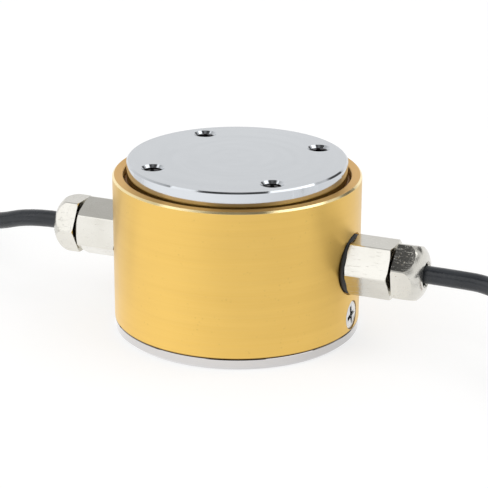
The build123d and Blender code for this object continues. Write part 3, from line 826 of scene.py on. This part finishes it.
class SENSOR_OT_wires(bpy.types.Operator):
    """Run the cables' cores and the gauges' fine wires"""

    bl_idname = "sensor.wires"
    bl_label = "Wires"

    def execute(self, context):
        cables = context.scene.sensor_cables
        inside = context.scene.sensor_inside
        tinned = Finish("tinned_copper", (0.7, 0.66, 0.6), 0.35, 1.0)
        tinned.roughen(5000.0, 0.05 * MM, 0.6)
        for number, (name, colour) in enumerate(CORE_COLOURS.items()):
            skin = Finish("core_" + name, colour, 0.35)
            smudge = skin.group("handling_marks", Size=300.0)["Smudge"]
            paler = tuple(0.8 * value + 0.12 for value in colour)
            skin.set("Base Color", skin.shade(smudge.between(0.0, 0.35), paler))
            skin.set("Roughness", smudge.between(0.25, 0.45))
            skin.roughen(3500.0, 0.04 * MM)
            for side, sign in SIDES.items():
                ending = name + "_" + side
                cores = {
                    "core_" + ending: self.inner_core("inner_core_" + ending, cables, inside, number, sign),
                    "lead_" + ending: self.free_core("free_core_" + ending, cables, number, sign),
                }
                for node, core in cores.items():
                    keep(core, "wire_" + name, [skin.material, tinned.material], node)
        self.gauge_wires(inside, context.scene.sensor_finishes)
        return {"FINISHED"}

    def inner_core(self, name, cables, inside, number, sign):
        """One core from the cable down to its pad on the board."""
        across, up = ((-1, 1), (-1, -1), (1, -1), (1, 1))[number]
        offset = cables.core_offset
        pad = Vector((sign * inside.pad_distance, (number - 1.5) * inside.pad_pitch, BOARD_TOP))
        start = Vector((cable_route(sign)[0].x, across * offset, GLAND_HEIGHT + up * offset))
        straight = mm(sign * 3, 0, 0)
        bend, stripped = pad + mm(0, 0, 4.4), pad + mm(0, 0, 1.2)
        core = nurbs_line(name, [start, start - straight, bend, stripped], cables.core)
        add_run(core, [pad + mm(0, 0, 1.3), pad + mm(0, 0, 0.05)], 1, BARE_SHARE)
        return core

    def free_core(self, name, cables, number, sign):
        """One core at the cable's free end, with its stripped and tinned tip."""
        centre = coil_entry(cables, cable_route(sign))[0]
        offset = cables.core_offset
        spread = (2.4, -1.0, -4.6, -8.4)[number] * MM
        across, up = ((1, 1), (1, -1), (-1, 1), (-1, -1))[number]
        leave = (-cables.tail, cables.coil_radius + cables.diameter, cables.coil_floor + cables.diameter / 2)
        start = centre * sign + Vector(leave) + Vector((0, across * offset, up * offset))
        reach = (27 - number) * MM
        end = start + Vector((-reach, spread - across * offset, 0))
        end.z = cables.core / 2
        middle = Vector((start.x - 14 * MM, (start.y + end.y) / 2, end.z))
        stripped = middle.lerp(end, 0.6)
        runs = ([start, start - mm(6, 0, 0), middle, stripped], [middle.lerp(end, 0.5), end])
        turned = [[Vector((sign * point.x, sign * point.y, point.z)) for point in run] for run in runs]
        core = nurbs_line(name, turned[0], cables.core)
        add_run(core, turned[1], 1, BARE_SHARE)
        return core

    def gauge_wires(self, inside, colours):
        """Pairs of enamelled wires from the gauges' tabs to the boards."""
        copper = Finish("enamelled_copper", colours.copper, 0.28, 0.9)
        smudge = copper.group("handling_marks", Size=400.0)["Smudge"]
        copper.set("Base Color", copper.shade(smudge, (0.5, 0.17, 0.06)))
        copper.bump(smudge, 0.02 * MM, 0.4)
        bow = 2.5 * MM
        for kind, faces, landing in (("torque", (0, 180), 14.6), ("thrust", (90, -90), 41.6)):
            out = inside.landing_circle * math.cos(math.radians(landing))
            aside = inside.landing_circle * math.sin(math.radians(landing))
            runs = []
            for face in faces:
                turn = Matrix.Rotation(math.radians(face), 3, "Z")
                for hand in (-1, 1):
                    points = (
                        (inside.tab_face, hand * inside.tab_offset, inside.tab_height),
                        (inside.tab_face + bow, hand * inside.tab_offset, inside.tab_height),
                        (out, hand * aside, BOARD_TOP + bow),
                        (out, hand * aside, BOARD_TOP),
                    )
                    runs.append([turn @ Vector(point) for point in points])
            line = nurbs_line(kind + "_wires", runs[0], inside.fine_wire, 3)
            for run in runs[1:]:
                add_run(line, run)
            keep(line, "fine_wire", [copper.material], kind + "_gauge_leads")


class SENSOR_OT_cables(bpy.types.Operator):
    """Lay both cables from their glands to their coils"""

    bl_idname = "sensor.cables"
    bl_label = "Cables"

    def execute(self, context):
        sizes = context.scene.sensor_cables
        jacket = self.make_jacket(context.scene.sensor_finishes)
        for side, sign in SIDES.items():
            route = cable_route(sign)
            centre, start_angle, meeting = coil_entry(sizes, route)
            heading = (route[-1] - route[-2]).normalized()
            lead_in = meeting - heading * (sizes.coil_radius + sizes.diameter) * math.tan(COIL_STEP / 2)
            points = route + [lead_in] + coil_points(sizes, centre, start_angle, sign)
            line = nurbs_line("cable_line_" + side, points, sizes.diameter, 6)
            keep(line, "jacket", [jacket], "cable_" + side, "cable_coil_" + side)
        return {"FINISHED"}

    def make_jacket(self, colours):
        """Black cable jacket, a little dusty, with a painted glow in mirrors where the coils lie."""
        jacket = Finish("cable_jacket", colours.jacket, 0.4)
        grain = jacket.roughen(900.0, 0.25 * MM, 0.35)
        marks = jacket.group("handling_marks", Size=90.0)
        jacket.set("Base Color", jacket.shade(grain["Patches"].between(0.0, 0.5), (0.03, 0.034, 0.042)))
        jacket.set("Roughness", marks["Smudge"].between(0.24, 0.38))
        # Painted glow: the coils are put away beyond the view, so there the jacket glows white in mirror rays
        # and the metal mirrors the pale room in their place
        beyond = abs(jacket.axes()[0]).range(COILS_FROM, COILS_FROM + 4 * MM, 0.0, 0.9)
        mirrored = ray_masks(jacket.tree)[1]
        jacket.set("Emission Color", (1, 1, 1, 1))
        jacket.set("Emission Strength", beyond * mirrored)
        return jacket.material


class SENSOR_OT_metalwork(bpy.types.Operator):
    """Finish the elastic body and the sleeve, whose shapes the frame gives"""

    bl_idname = "sensor.metalwork"
    bl_label = "Body and sleeve"

    def execute(self, context):
        colours = context.scene.sensor_finishes
        paint(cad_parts["elastic_body"], self.make_steel(colours))
        paint(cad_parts["housing_sleeve"], self.make_gold(colours))
        return {"FINISHED"}

    def make_steel(self, colours):
        """Ground faces, turned sides and tapped holes."""
        steel = Finish("polished_steel", colours.steel, 0.16, 1.0)
        turning = steel.group("turning_marks", Lines_per_mm=9.0, Wander=0.5)
        smudge = steel.group("handling_marks", Size=45.0)["Smudge"]
        x, y, z = steel.axes()
        # Inside the eight tapped holes the surface is a thread with a pitch of one millimetre
        centre = HOLE_CIRCLE * math.sqrt(0.5)
        from_x = abs(x) - centre
        from_y = abs(y) - centre
        wall = distance(from_x, from_y) < HOLE_WALL
        climb = from_y.turn(from_x) / (2 * math.pi)
        thread = (z * PER_METRE + climb).zigzag(0.5)
        lines = turning["Height"] * (1.0 - wall)
        steel.bump(thread * wall + lines * 0.0022, 1.0 * MM, 0.85)
        ground = (smudge + turning["Bands"]).range(0.3, 1.6, 0.13, 0.23)
        polished = z < PLATE_TOP - 0.03 * MM
        steel.set("Roughness", ground * polished.between(1.0, 0.45))
        tone = steel.shade(turning["Bands"].range(0.3, 0.7, 0.0, 0.22), (0.55, 0.575, 0.605))
        # The base ring is greyer than the plate, and a painted shadow darkens a line on it under the sleeve
        base = z < SLEEVE_LOW.z + 0.1 * MM
        tone = steel.shade(base, (0.57, 0.56, 0.56), tone)
        shadow_line = (SLEEVE_LOW.z - z).range(0.1 * MM, 0.3 * MM, 1.0, 0.0)
        tone = steel.shade(shadow_line * base, (0.13, 0.1, 0.07), tone)
        # Painted shade: the walls of the tapped holes are darkened nearly to black
        steel.set("Base Color", steel.shade(wall, (0.07, 0.07, 0.072), tone))
        return steel.material

    def make_gold(self, colours):
        """Anodised colour over fine turning marks."""
        gold = Finish("gold_anodised", colours.gold, 0.22, 1.0)
        turning = gold.group("turning_marks", Lines_per_mm=5.0, Wander=0.35)
        marks = gold.group("handling_marks", Size=30.0)
        fine = turning["Height"].range(0.25, 0.75)
        warm = gold.shade(turning["Bands"].range(0.3, 0.7, 0.0, 0.5), (0.75, 0.48, 0.12))
        tone = gold.shade(fine.between(0.0, 0.16), (0.9, 0.66, 0.26), warm)
        # The rim is cut deeper in colour and its outer edge gets a painted highlight; the sleeve darkens
        # towards its lower edge, painted shade rings the screws, and specks are dirt
        x, y, z = gold.axes()
        chamfer = 0.52 * MM
        top = z > SLEEVE_HIGH.z - chamfer
        flat = top * (distance(x, y) < SLEEVE_HIGH.x - chamfer)
        painted_highlight_edge = top - flat
        tone = gold.shade(flat, (0.72, 0.42, 0.1), tone)
        # Painted highlight: the outer chamfer's colour is lightened, while its lower roughness further down
        # is real polish
        tone = gold.shade(painted_highlight_edge, (1.0, 0.83, 0.46), tone)
        low = z.range(SLEEVE_LOW.z + 0.1 * MM, SLEEVE_LOW.z + 0.45 * MM, 1.0, 0.0)
        # Painted shade round the screw heads in their countersinks; the lower edge darkens too, and only the
        # specks are dirt
        painted_shade_round_screw = distance(y, z - SCREW_HEIGHT) < 4.15 * MM
        dirt_and_shade = low.larger(painted_shade_round_screw * 0.85).larger(marks["Specks"] * 0.1)
        gold.set("Base Color", gold.shade(dirt_and_shade, (0.16, 0.09, 0.03), tone))
        satin = (fine + marks["Smudge"]).range(0, 2, 0.34, 0.46)
        gold.set("Roughness", satin * painted_highlight_edge.between(1.0, 0.55))
        gold.set("Anisotropic", 0.7)
        gold.set("Anisotropic Rotation", 0.25)
        gold.set("Tangent", read_node(gold.tree, "ShaderNodeTangent", direction_type="RADIAL", axis="Z"))
        gold.bump(turning["Height"], 0.004 * MM, 0.8)
        return gold.material


class SENSOR_OT_seals(bpy.types.Operator):
    """Lay the two ring seals"""

    bl_idname = "sensor.seals"
    bl_label = "Ring seals"

    def execute(self, context):
        rubber = rubber_material(context.scene.sensor_finishes)
        for name, (low, high) in SEAL_CORNERS.items():
            radius = (high.z - low.z) / 2
            middle = ((high.z + low.z) / 2, high.x - radius)
            ring = spun_piece(name + "_round", arc_points(middle, radius, 0, 360, 16), steps=160)
            settle(ring, Matrix.Rotation(-math.pi / 2, 4, "Y"))
            keep(ring, "seal_rubber", [rubber], name)
        return {"FINISHED"}


class SENSOR_OT_glands(bpy.types.Operator):
    """Turn and mill the two cable glands"""

    bl_idname = "sensor.glands"
    bl_label = "Cable glands"

    def execute(self, context):
        sizes = context.scene.sensor_glands
        colours = context.scene.sensor_finishes
        nickel = self.make_nickel(colours)
        rubber = rubber_material(colours)
        nylon = Finish("claw_nylon", (0.02, 0.02, 0.022), 0.4)
        nylon.set("Roughness", nylon.roughen(1800.0, 0.05 * MM)["Patches"].between(0.32, 0.5))
        turns = {
            "right": (sizes.right_body_turn, sizes.right_nut_turn),
            "left": (sizes.left_body_turn, sizes.left_nut_turn),
        }
        for side, sign in SIDES.items():
            body_turn, nut_turn = turns[side]
            for part, piece, material, slot in (
                ("washer", self.make_washer(sizes), rubber, "seal_rubber"),
                ("body", self.make_body(sizes, body_turn), nickel, "nickel"),
                ("nut", self.make_nut(sizes, nut_turn), nickel, "nickel"),
                ("claw", self.make_claw(sizes), nylon.material, "claw_plastic"),
                ("seal", self.make_seal(sizes), rubber, "seal_rubber"),
            ):
                piece.name = "gland_" + part + "_piece_" + side
                settle(piece, gland_matrix(sign))
                keep(piece, slot, [material], "gland_" + part + "_" + side)
        return {"FINISHED"}

    def make_nickel(self, colours):
        """Bright nickel with hair scratches, small dents and marks of the lathe round the glands' axis."""
        nickel = Finish("nickel_plate", colours.nickel, 0.12, 1.0)
        turned = {"Vector": nickel.place, "Location": (GLAND_HEIGHT, 0, 0), "Rotation": (0, -math.pi / 2, 0)}
        along = add_node(nickel.tree, "ShaderNodeMapping", turned).outputs[0]
        marks = nickel.group("handling_marks", Size=110.0)
        turning = nickel.group("turning_marks", along, Lines_per_mm=5.0, Wander=0.5)
        smudge = marks["Smudge"]
        x, y, z = nickel.axes(along)
        radius, reach = distance(x, y), abs(z)
        # The nuts are dented more than the bodies
        on_nut = reach > SEAT + 14.2 * MM
        specks = marks["Specks"] * on_nut.between(0.15, 1.0)
        # Painted shade and grease darken the thread in the gap between body and nut
        thread = radius.range(5.95 * MM, 6.1 * MM, 1.0, 0.0)
        inner = reach < SEAT + 19 * MM
        # The claw's fingers show as dark strokes round the mouth
        stroke = (y.turn(x) * 5.0).zigzag(0.5) < 0.18
        mouth = radius < 3.75 * MM
        grime_and_shade = (thread * inner).larger(stroke * mouth).larger(specks * 0.3)
        worn = nickel.shade(smudge.between(0.0, 0.5), (0.61, 0.59, 0.535))
        nickel.set("Base Color", nickel.shade(grime_and_shade, (0.15, 0.135, 0.11), worn))
        scratched = (marks["Scratches"] * 0.3).larger(grime_and_shade * 0.2)
        nickel.set("Roughness", smudge.between(0.07, 0.17) + scratched)
        nose = reach.range(SEAT + 17.5 * MM, SEAT + 19.5 * MM, 0.12, 0.6)
        nickel.bump(specks + turning["Height"] * nose, 0.06 * MM, 0.9)
        return nickel.material

    def make_washer(self, sizes):
        """Rubber washer, pressed out a little between sleeve and hexagon."""
        inner = sizes.thread / 2 + GAP
        half = sizes.body_start / 2
        flank = arc_points((half, sizes.washer - half), half, 180, 0, 8)
        return spun_piece("washer", [(0, inner)] + flank + [(sizes.body_start, inner), (0, inner)])

    def make_body(self, sizes, turn):
        """Hexagonal body, coned at both ends, with its threads and its bore."""
        corner = sizes.flats / math.sqrt(3)
        start, stop, drop = sizes.body_start, sizes.body_end, sizes.body_cone
        bore, socket = sizes.bore / 2, sizes.socket / 2
        body = hexagon_piece("body", corner, start, stop, turn, sizes.edge)
        wide = corner + 0.1 * MM
        outline = [(start, 0), (start, corner - drop), (start + drop / 2, wide)]
        outline += [(stop - drop / 2, wide), (stop, corner - drop), (stop, 0)]
        combine(body, spun_piece("cones", outline, steps=144), "INTERSECT")
        floor = sizes.socket_start
        before, after = start - OVERRUN, stop + OVERRUN
        way = [(before, 0), (before, bore), (floor, bore), (floor, socket), (after, socket), (after, 0)]
        combine(body, spun_piece("way", way, steps=96), "DIFFERENCE")
        shape = bmesh.new()
        shape.from_mesh(body.data)
        crest = sizes.thread / 2
        root = crest - 0.6 * sizes.pitch
        for first, last, inner in ((-sizes.shank, start, bore), (stop, sizes.socket_end, socket)):
            thread = thread_profile(crest, root, first, last, sizes.pitch)
            add_spin(shape, [(first, inner)] + thread + [(last, inner), (first, inner)], steps=96)
        shape.to_mesh(body.data)
        shape.free()
        smooth_shade(body)
        return body

    def make_nut(self, sizes, turn):
        """Hexagonal nut with a round nose, its thread and the mouth for the cable."""
        corner = sizes.flats / math.sqrt(3)
        start, stop = sizes.nut_start, sizes.nut_end
        rim = corner + 0.02 * MM
        nut = hexagon_piece("nut", corner, start, stop, turn, sizes.edge)
        chamfer, drop = 0.22 * MM, 0.45 * MM
        outline = [(start, 0), (start, corner - drop), (start + chamfer, rim)]
        outline += arc_points((stop - sizes.nose, rim - sizes.nose), sizes.nose, 90, 0, 18) + [(stop, 0)]
        combine(nut, spun_piece("nose", outline, steps=144), "INTERSECT")
        mouth = sizes.bore / 2
        thread = sizes.thread / 2 + GAP
        edge = 0.5 * MM
        taper = 1.9 * MM
        lip = stop - sizes.lip
        way = [
            (start - OVERRUN, 0),
            (start - OVERRUN, thread),
            (sizes.socket_end, thread),
            (lip, thread - taper),
            (lip, mouth),
            (stop - edge, mouth),
            (stop + edge, mouth + 2 * edge),
            (stop + edge, 0),
        ]
        return combine(nut, spun_piece("way", way, steps=96), "DIFFERENCE")

    def make_claw(self, sizes):
        """Ring of bent fingers that grips the rubber."""
        outer = sizes.claw / 2
        inner = outer - sizes.claw_wall
        taper = 0.9 * MM
        start = sizes.socket_start + CLAW_SEAT
        tip = sizes.nut_end - sizes.lip - 0.7 * MM
        section = [
            (start, inner),
            (start, outer),
            (sizes.socket_end, outer),
            (tip, outer - taper),
            (tip, inner - taper),
            (sizes.socket_end, inner),
            (start, inner),
        ]
        claw = spun_piece("claw", section, steps=72)
        slot_start, slot_end = start + 1.2 * MM, tip + OVERRUN
        middle = ((slot_start + slot_end) / 2, 0, 0)
        size = (slot_end - slot_start, 2.4 * outer, 0.8 * MM)
        for degrees in (10, 70, 130):
            slot = box_piece("finger_slot", size, middle, math.radians(degrees))
            combine(claw, slot, "DIFFERENCE")
        return claw

    def make_seal(self, sizes):
        """Rubber sleeve that the claw presses onto the cable."""
        outer = sizes.claw / 2 - sizes.claw_wall - GAP
        inner = 2.52 * MM
        start = sizes.socket_start + CLAW_SEAT
        tip = sizes.nut_end - sizes.lip - 0.9 * MM
        section = [
            (start, inner),
            (start, outer),
            (sizes.socket_end - GAP, outer),
            (tip - 0.3 * MM, outer - 0.85 * MM),
            (tip, outer - 1.1 * MM),
            (tip, inner),
            (start, inner),
        ]
        return spun_piece("seal", section, steps=72)


class SENSOR_OT_screws(bpy.types.Operator):
    """Turn the sleeve screws and the board screws and cut their recesses"""

    bl_idname = "sensor.screws"
    bl_label = "Screws"

    def execute(self, context):
        steel = Finish("screw_steel", context.scene.sensor_finishes.screw, 0.25, 1.0)
        marks = steel.group("handling_marks", Size=260.0)
        steel.set("Roughness", marks["Smudge"].between(0.16, 0.4))
        # Painted shade darkens the recess and the head below its rim on the sleeve screws, but not on those
        # of the boards
        reach = abs(steel.axes()[0])
        painted_recess_shade = reach.range(SCREW_HIGH.x - 0.6 * MM, SCREW_HIGH.x - 0.2 * MM, 1.0, 0.0)
        in_sleeve = reach > 30 * MM
        smudged_tone = steel.shade(marks["Smudge"].between(0.0, 0.6), grey(0.5))
        steel.set("Base Color", steel.shade(painted_recess_shade * in_sleeve, (0.05, 0.045, 0.04), smudged_tone))
        steel.bump(marks["Specks"] + marks["Scratches"], 0.03 * MM, 0.7)
        for side, sign in SIDES.items():
            screw = self.make_sleeve_screw()
            screw.name = "sleeve_screw_piece_" + side
            place = Matrix.Translation((sign * SCREW_HIGH.x, 0, SCREW_HEIGHT))
            settle(screw, place if sign > 0 else place @ Matrix.Rotation(math.pi, 4, "Z"))
            keep(screw, "screw_steel", [steel.material], "sleeve_screw_" + side)
        heads = self.make_board_screws(context.scene.sensor_inside)
        keep(heads, "screw_steel", [steel.material], "board_screws")
        return {"FINISHED"}

    def make_sleeve_screw(self):
        """Countersunk M4 screw with a cross recess, its head facing outwards along X."""
        head, shank, whole_length, pitch = 3.95 * MM, 1.97 * MM, 9.8 * MM, 0.7 * MM
        neck = 0.4 * MM
        cone = head - shank
        thread = thread_profile(shank, shank - 0.4 * MM, -whole_length, -cone - neck, pitch)
        face = [
            (-cone, shank),
            (-0.2 * MM, head),
            (-0.16 * MM, head - 0.05 * MM),
            (0, head - 0.4 * MM),
            (0, 0),
        ]
        screw = spun_piece("screw", [(-whole_length, 0)] + thread + face, steps=72)
        cross_arm = mm(2.4, 6.6, 1.4)
        for degrees in (12, 102):
            shape = bmesh.new()
            arm = add_block(shape, cross_arm)
            bmesh.ops.scale(shape, vec=(1, 0.4, 0.7), verts=[corner for corner in arm if corner.co.x < 0])
            bmesh.ops.translate(shape, vec=mm(-0.6, 0, 0), verts=arm)
            turn_points(shape, arm, math.radians(degrees), "X")
            combine(screw, new_piece("arm", shape), "DIFFERENCE")
        pit = [(-2.2 * MM, 0), (-1.4 * MM, 0.7 * MM), (0.6 * MM, 1.15 * MM), (0.6 * MM, 0)]
        return combine(screw, spun_piece("pit", pit, steps=32), "DIFFERENCE")

    def make_board_screws(self, inside):
        """Four cheese-head screws with straight slots, standing on the boards."""
        top = BOARD_SCREW_HIGH.z
        deep = BOARD_SCREW_LOW.z - top
        shank, radius, height, edge = 0.98 * MM, 1.8 * MM, 1.3 * MM, 0.25 * MM
        outline = [(deep, 0), (deep, shank), (-height, shank), (-height, radius)]
        outline += [(-edge, radius), (0, radius - edge), (0, 0)]
        heads = spun_piece("board_screws_piece", outline, steps=48)
        combine(heads, box_piece("slot", mm(1.3, 5, 0.6)), "DIFFERENCE")
        settle(heads, Matrix.Rotation(-math.pi / 2, 4, "Y"))
        shape = bmesh.new()
        for number, degrees in enumerate((-60, 60, 120, 240)):
            before = set(shape.verts)
            shape.from_mesh(heads.data)
            fresh = [corner for corner in shape.verts if corner not in before]
            turn_points(shape, fresh, 0.7 + 1.9 * number, "Z")
            stand = spoke(math.radians(degrees)) * inside.screw_circle + Vector((0, 0, top))
            bmesh.ops.translate(shape, vec=stand, verts=fresh)
        shape.to_mesh(heads.data)
        shape.free()
        smooth_shade(heads)
        return heads


class SENSOR_OT_electronics(bpy.types.Operator):
    """Finish the gauges and the wiring boards, and make their resistors"""

    bl_idname = "sensor.electronics"
    bl_label = "Gauges and boards"

    def execute(self, context):
        inside = context.scene.sensor_inside
        board = self.make_board_finish(context.scene.sensor_finishes, inside)
        thrust = self.make_foil("thrust_foil", 0, inside)
        torque = self.make_foil("torque_foil", 1, inside)
        for material, names in (
            (board, ("wiring_board_right", "wiring_board_left")),
            (thrust, ("thrust_gauge_front", "thrust_gauge_back")),
            (torque, ("torque_gauge_right", "torque_gauge_left")),
        ):
            for name in names:
                paint(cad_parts[name], material)
        self.make_resistors(inside)
        return {"FINISHED"}

    def make_board_finish(self, colours, inside):
        """Green resist over traces, with tinned pads."""
        board = Finish("board_resist", colours.board, 0.35)
        x, y, z = board.axes()
        radius = distance(x, y)
        rings = (radius * PER_METRE).zigzag(0.75) < 0.22
        upper = z > BOARD_TOP - 0.05 * MM
        trace = rings * upper * (radius > 24.6 * MM)
        from_row = abs(x) - inside.pad_distance
        along = y.zigzag(inside.pad_pitch) - inside.pad_pitch / 2
        near = distance(from_row, along) < 1.15 * MM
        few = abs(y) < 2.0 * inside.pad_pitch
        pad = near * few * upper
        green = board.shade(trace * 0.8, (0.06, 0.32, 0.12))
        board.set("Base Color", board.shade(pad, (0.75, 0.73, 0.7), green))
        board.set("Metallic", pad)
        patches = board.group("moulded_grain", Size=900.0)["Patches"]
        board.set("Roughness", patches.between(0.25, 0.42))
        board.bump(trace + pad, 0.05 * MM, 0.8)
        return board.material

    def make_foil(self, name, axis, inside):
        """Amber film with the fine grid of a strain gauge and two tinned tabs."""
        foil = Finish(name, (0.62, 0.3, 0.05), 0.3)
        parts = foil.axes()
        across = parts[axis]
        tab_drop = 2.8 * MM
        up = parts[2] - (inside.tab_height + tab_drop)
        # The torque gauges' grids stand at 45 degrees, as a herringbone
        slant = abs(up) if axis else 0.0
        lines = ((across + slant) * PER_METRE).zigzag(0.3) < 0.16
        grid = lines * (abs(across) < 2.6 * MM) * (abs(up - 0.9 * MM) < 2.3 * MM)
        beside = abs(abs(across) - inside.tab_offset)
        below = abs(up + tab_drop)
        tab = beside.larger(below) < 0.85 * MM
        metal = grid.larger(tab)
        foil.set("Base Color", foil.shade(metal, (0.72, 0.66, 0.58)))
        foil.set("Metallic", metal)
        foil.set("Coat Weight", 0.5)
        grain = foil.group("moulded_grain", Size=2500.0)["Height"]
        foil.set("Roughness", grain.range(0.3, 0.7, 0.22, 0.42))
        foil.bump(metal + grain, 0.03 * MM, 0.6)
        return foil.material

    def make_resistors(self, inside):
        """Eight chip resistors with tinned ends, laid round the boards."""
        shape = bmesh.new()
        tall = RESISTOR_HIGH.z - RESISTOR_LOW.z
        # The ceramic is a little lower and narrower than the caps on its ends
        parts = (
            ((1.56 * MM, 2.3 * MM, tall - 0.03 * MM), 0),
            ((1.6 * MM, 0.5 * MM, tall), 1),
            ((1.6 * MM, 0.5 * MM, tall), -1),
        )
        for degrees in (-35, -21, 21, 35, 145, 159, 201, 215):
            before = set(shape.verts)
            for size, end in parts:
                chip = add_block(shape, size, (0, end * 1.35 * MM, tall / 2))
                for face in {face for corner in chip for face in corner.link_faces}:
                    face.material_index = abs(end)
            bevel(shape, edges_at(corner for corner in shape.verts if corner not in before), 0.06 * MM)
            fresh = [corner for corner in shape.verts if corner not in before]
            turn = math.radians(degrees)
            turn_points(shape, fresh, turn, "Z")
            stand = spoke(turn) * inside.resistor_circle + Vector((0, 0, RESISTOR_LOW.z))
            bmesh.ops.translate(shape, vec=stand, verts=fresh)
        chips = new_piece("chip_resistors", shape)
        black = Finish("chip_ceramic", (0.02, 0.02, 0.022), 0.45)
        tin = Finish("chip_tin", (0.66, 0.65, 0.62), 0.35, 1.0)
        for finish in (black, tin):
            finish.roughen(3500.0, 0.03 * MM)
        keep(chips, "resistor", [black.material, tin.material], "trim_resistors")


class SENSOR_OT_stage(bpy.types.Operator):
    """Set the floor, the world and the soft studio lights"""

    bl_idname = "sensor.stage"
    bl_label = "Stage"

    def execute(self, context):
        sizes = context.scene.sensor_stage
        shape = bmesh.new()
        bmesh.ops.create_grid(shape, x_segments=1, y_segments=1, size=sizes.floor_reach)
        bmesh.ops.translate(shape, vec=(0, 0, -sizes.floor_drop), verts=shape.verts)
        floor = new_piece("stage_floor", shape)
        right, ahead = view_directions(sizes.azimuth)
        glow_side = (-right * 0.85 - ahead * 0.5).normalized()
        paint(floor, self.make_floor(sizes, glow_side))
        for name, (towards, wide, high, power) in SOFTBOXES.items():
            data = bpy.data.lights.new(name, "AREA")
            data.shape = "RECTANGLE"
            data.size = wide
            data.size_y = high
            data.energy = power
            light = bpy.data.objects.new(name, data)
            context.collection.objects.link(light)
            spot = right * towards[0] + ahead * towards[1] + Vector((0, 0, towards[2]))
            light.location = spot.normalized() * sizes.lamps_away
            light.rotation_euler = light.location.to_track_quat("Z", "Y").to_euler()
        lamp = bpy.data.objects["left_softbox"].location.normalized()
        context.scene.world = self.make_world(right, ahead, lamp)
        context.scene.view_settings.view_transform = "Standard"
        return {"FINISHED"}

    def make_floor(self, sizes, glow_side):
        """White floor that keeps a soft shadow; in reflections it glows brighter on the side of the key light
        and near the sensor, as painted light.
        """
        pale = Finish("pale_floor", sizes.floor_colour, 0.8)
        camera, mirror, glass = ray_masks(pale.tree)
        shown = camera.larger(mirror).larger(glass)
        level = add_node(pale.tree, "ShaderNodeVectorMath", {0: pale.place}, operation="NORMALIZE").outputs[0]
        away = read_node(pale.tree, "ShaderNodeVectorMath", "Value", {0: pale.place}, operation="LENGTH")
        # Painted light: for mirror rays the floor glows more towards the key light's side and close to the
        # sensor
        mirror_glow = part_along(pale.tree, level, glow_side).range(-0.1, 0.95, -0.04, 0.16)
        mirror_glow = mirror_glow + away.range(45 * MM, 110 * MM, 0.1, 0.0)
        pale.set("Base Color", pale.shade(shown, grey(0.4)))
        pale.set("Emission Color", (1, 1, 1, 1))
        pale.set("Emission Strength", shown * (mirror_glow * mirror + 0.64))
        pale.set("Specular IOR Level", 0.1)
        return pale.material

    def make_world(self, right, ahead, lamp):
        """White studio walls under a darker ceiling for camera and reflections, plain light for the rest."""
        world = bpy.data.worlds.new("studio")
        world.use_nodes = True
        tree = world.node_tree
        direction = add_node(tree, "ShaderNodeTexCoord").outputs["Generated"]
        height = axes_of(tree, direction)[2]
        forward = part_along(tree, direction, ahead)
        aside = part_along(tree, direction, right)
        roof = forward.range(-0.02, 0.16, 0.07, 0.62).larger(height.range(0.94, 0.985, 0.0, 0.62))
        roof = add_node(tree, "ShaderNodeCombineXYZ", {0: roof, 1: roof, 2: roof}).outputs[0]
        walls = blend_colours(tree, height.range(0.2, 0.36), grey(1.0), grey(0.86))
        # Over the camera the room is dim as well
        front = height.range(0.05, 0.2) * forward.range(-0.8, -0.6, 1.0, 0.0)
        walls = blend_colours(tree, front, walls, grey(0.5))
        # Dark panels on both sides draw the rounded noses, and one behind on the right draws the far edges
        noses = abs(aside).range(0.8, 0.86) * height.range(0.42, 0.5)
        edges = aside.range(0.5, 0.56) * forward.range(0.4, 0.46) * height.range(0.27, 0.33)
        walls = blend_colours(tree, noses.larger(edges), walls, grey(0.1))
        seen = blend_colours(tree, height.range(0.5, 0.72), walls, roof)
        # The room is dark behind the left softbox, which would otherwise add to it in mirrors
        behind_lamp = part_along(tree, direction, lamp).range(0.9, 0.93, 0.0, 0.9)
        seen = blend_colours(tree, behind_lamp, seen, grey(0.08))
        camera, mirror, glass = ray_masks(tree)
        colour = blend_colours(tree, mirror.larger(glass), grey(0.75), seen)
        colour = blend_colours(tree, camera, colour, grey(1.0))
        feed(tree, tree.nodes["Background"].inputs["Color"], colour)
        return world


class SENSOR_PT_panel(bpy.types.Panel):
    """Lists the sensor's pieces in the sidebar"""

    bl_idname = "SENSOR_PT_panel"
    bl_label = "Force sensor"
    bl_space_type = "VIEW_3D"
    bl_region_type = "UI"
    bl_category = "Sensor"

    def draw(self, context):
        for operator in OPERATORS:
            self.layout.operator(operator.bl_idname)


OPERATORS = (
    SENSOR_OT_camera,
    SENSOR_OT_straps,
    SENSOR_OT_wires,
    SENSOR_OT_cables,
    SENSOR_OT_metalwork,
    SENSOR_OT_seals,
    SENSOR_OT_glands,
    SENSOR_OT_screws,
    SENSOR_OT_electronics,
    SENSOR_OT_stage,
)
GROUPS = {
    "sensor_glands": SensorGlandSizes,
    "sensor_cables": SensorCableSizes,
    "sensor_inside": SensorInsideSizes,
    "sensor_finishes": SensorFinishes,
    "sensor_stage": SensorStageSizes,
}


def register():
    """Register the classes and hang the sizes on the scene."""
    for group in GROUPS.values():
        bpy.utils.register_class(group)
    for operator in OPERATORS:
        bpy.utils.register_class(operator)
    bpy.utils.register_class(SENSOR_PT_panel)
    for name, group in GROUPS.items():
        setattr(bpy.types.Scene, name, bpy.props.PointerProperty(type=group))


def unregister():
    """Undo what register does."""
    for name in GROUPS:
        delattr(bpy.types.Scene, name)
    bpy.utils.unregister_class(SENSOR_PT_panel)
    for operator in reversed(OPERATORS):
        bpy.utils.unregister_class(operator)
    for group in GROUPS.values():
        bpy.utils.unregister_class(group)


def main():
    """Build everything."""
    register()
    make_turning_group()
    make_handling_group()
    make_grain_group()
    bpy.ops.sensor.camera()
    bpy.ops.sensor.straps()
    bpy.ops.sensor.wires()
    bpy.ops.sensor.cables()
    bpy.ops.sensor.metalwork()
    bpy.ops.sensor.seals()
    bpy.ops.sensor.glands()
    bpy.ops.sensor.screws()
    bpy.ops.sensor.electronics()
    bpy.ops.sensor.stage()


if __name__ == "__main__":
    main()
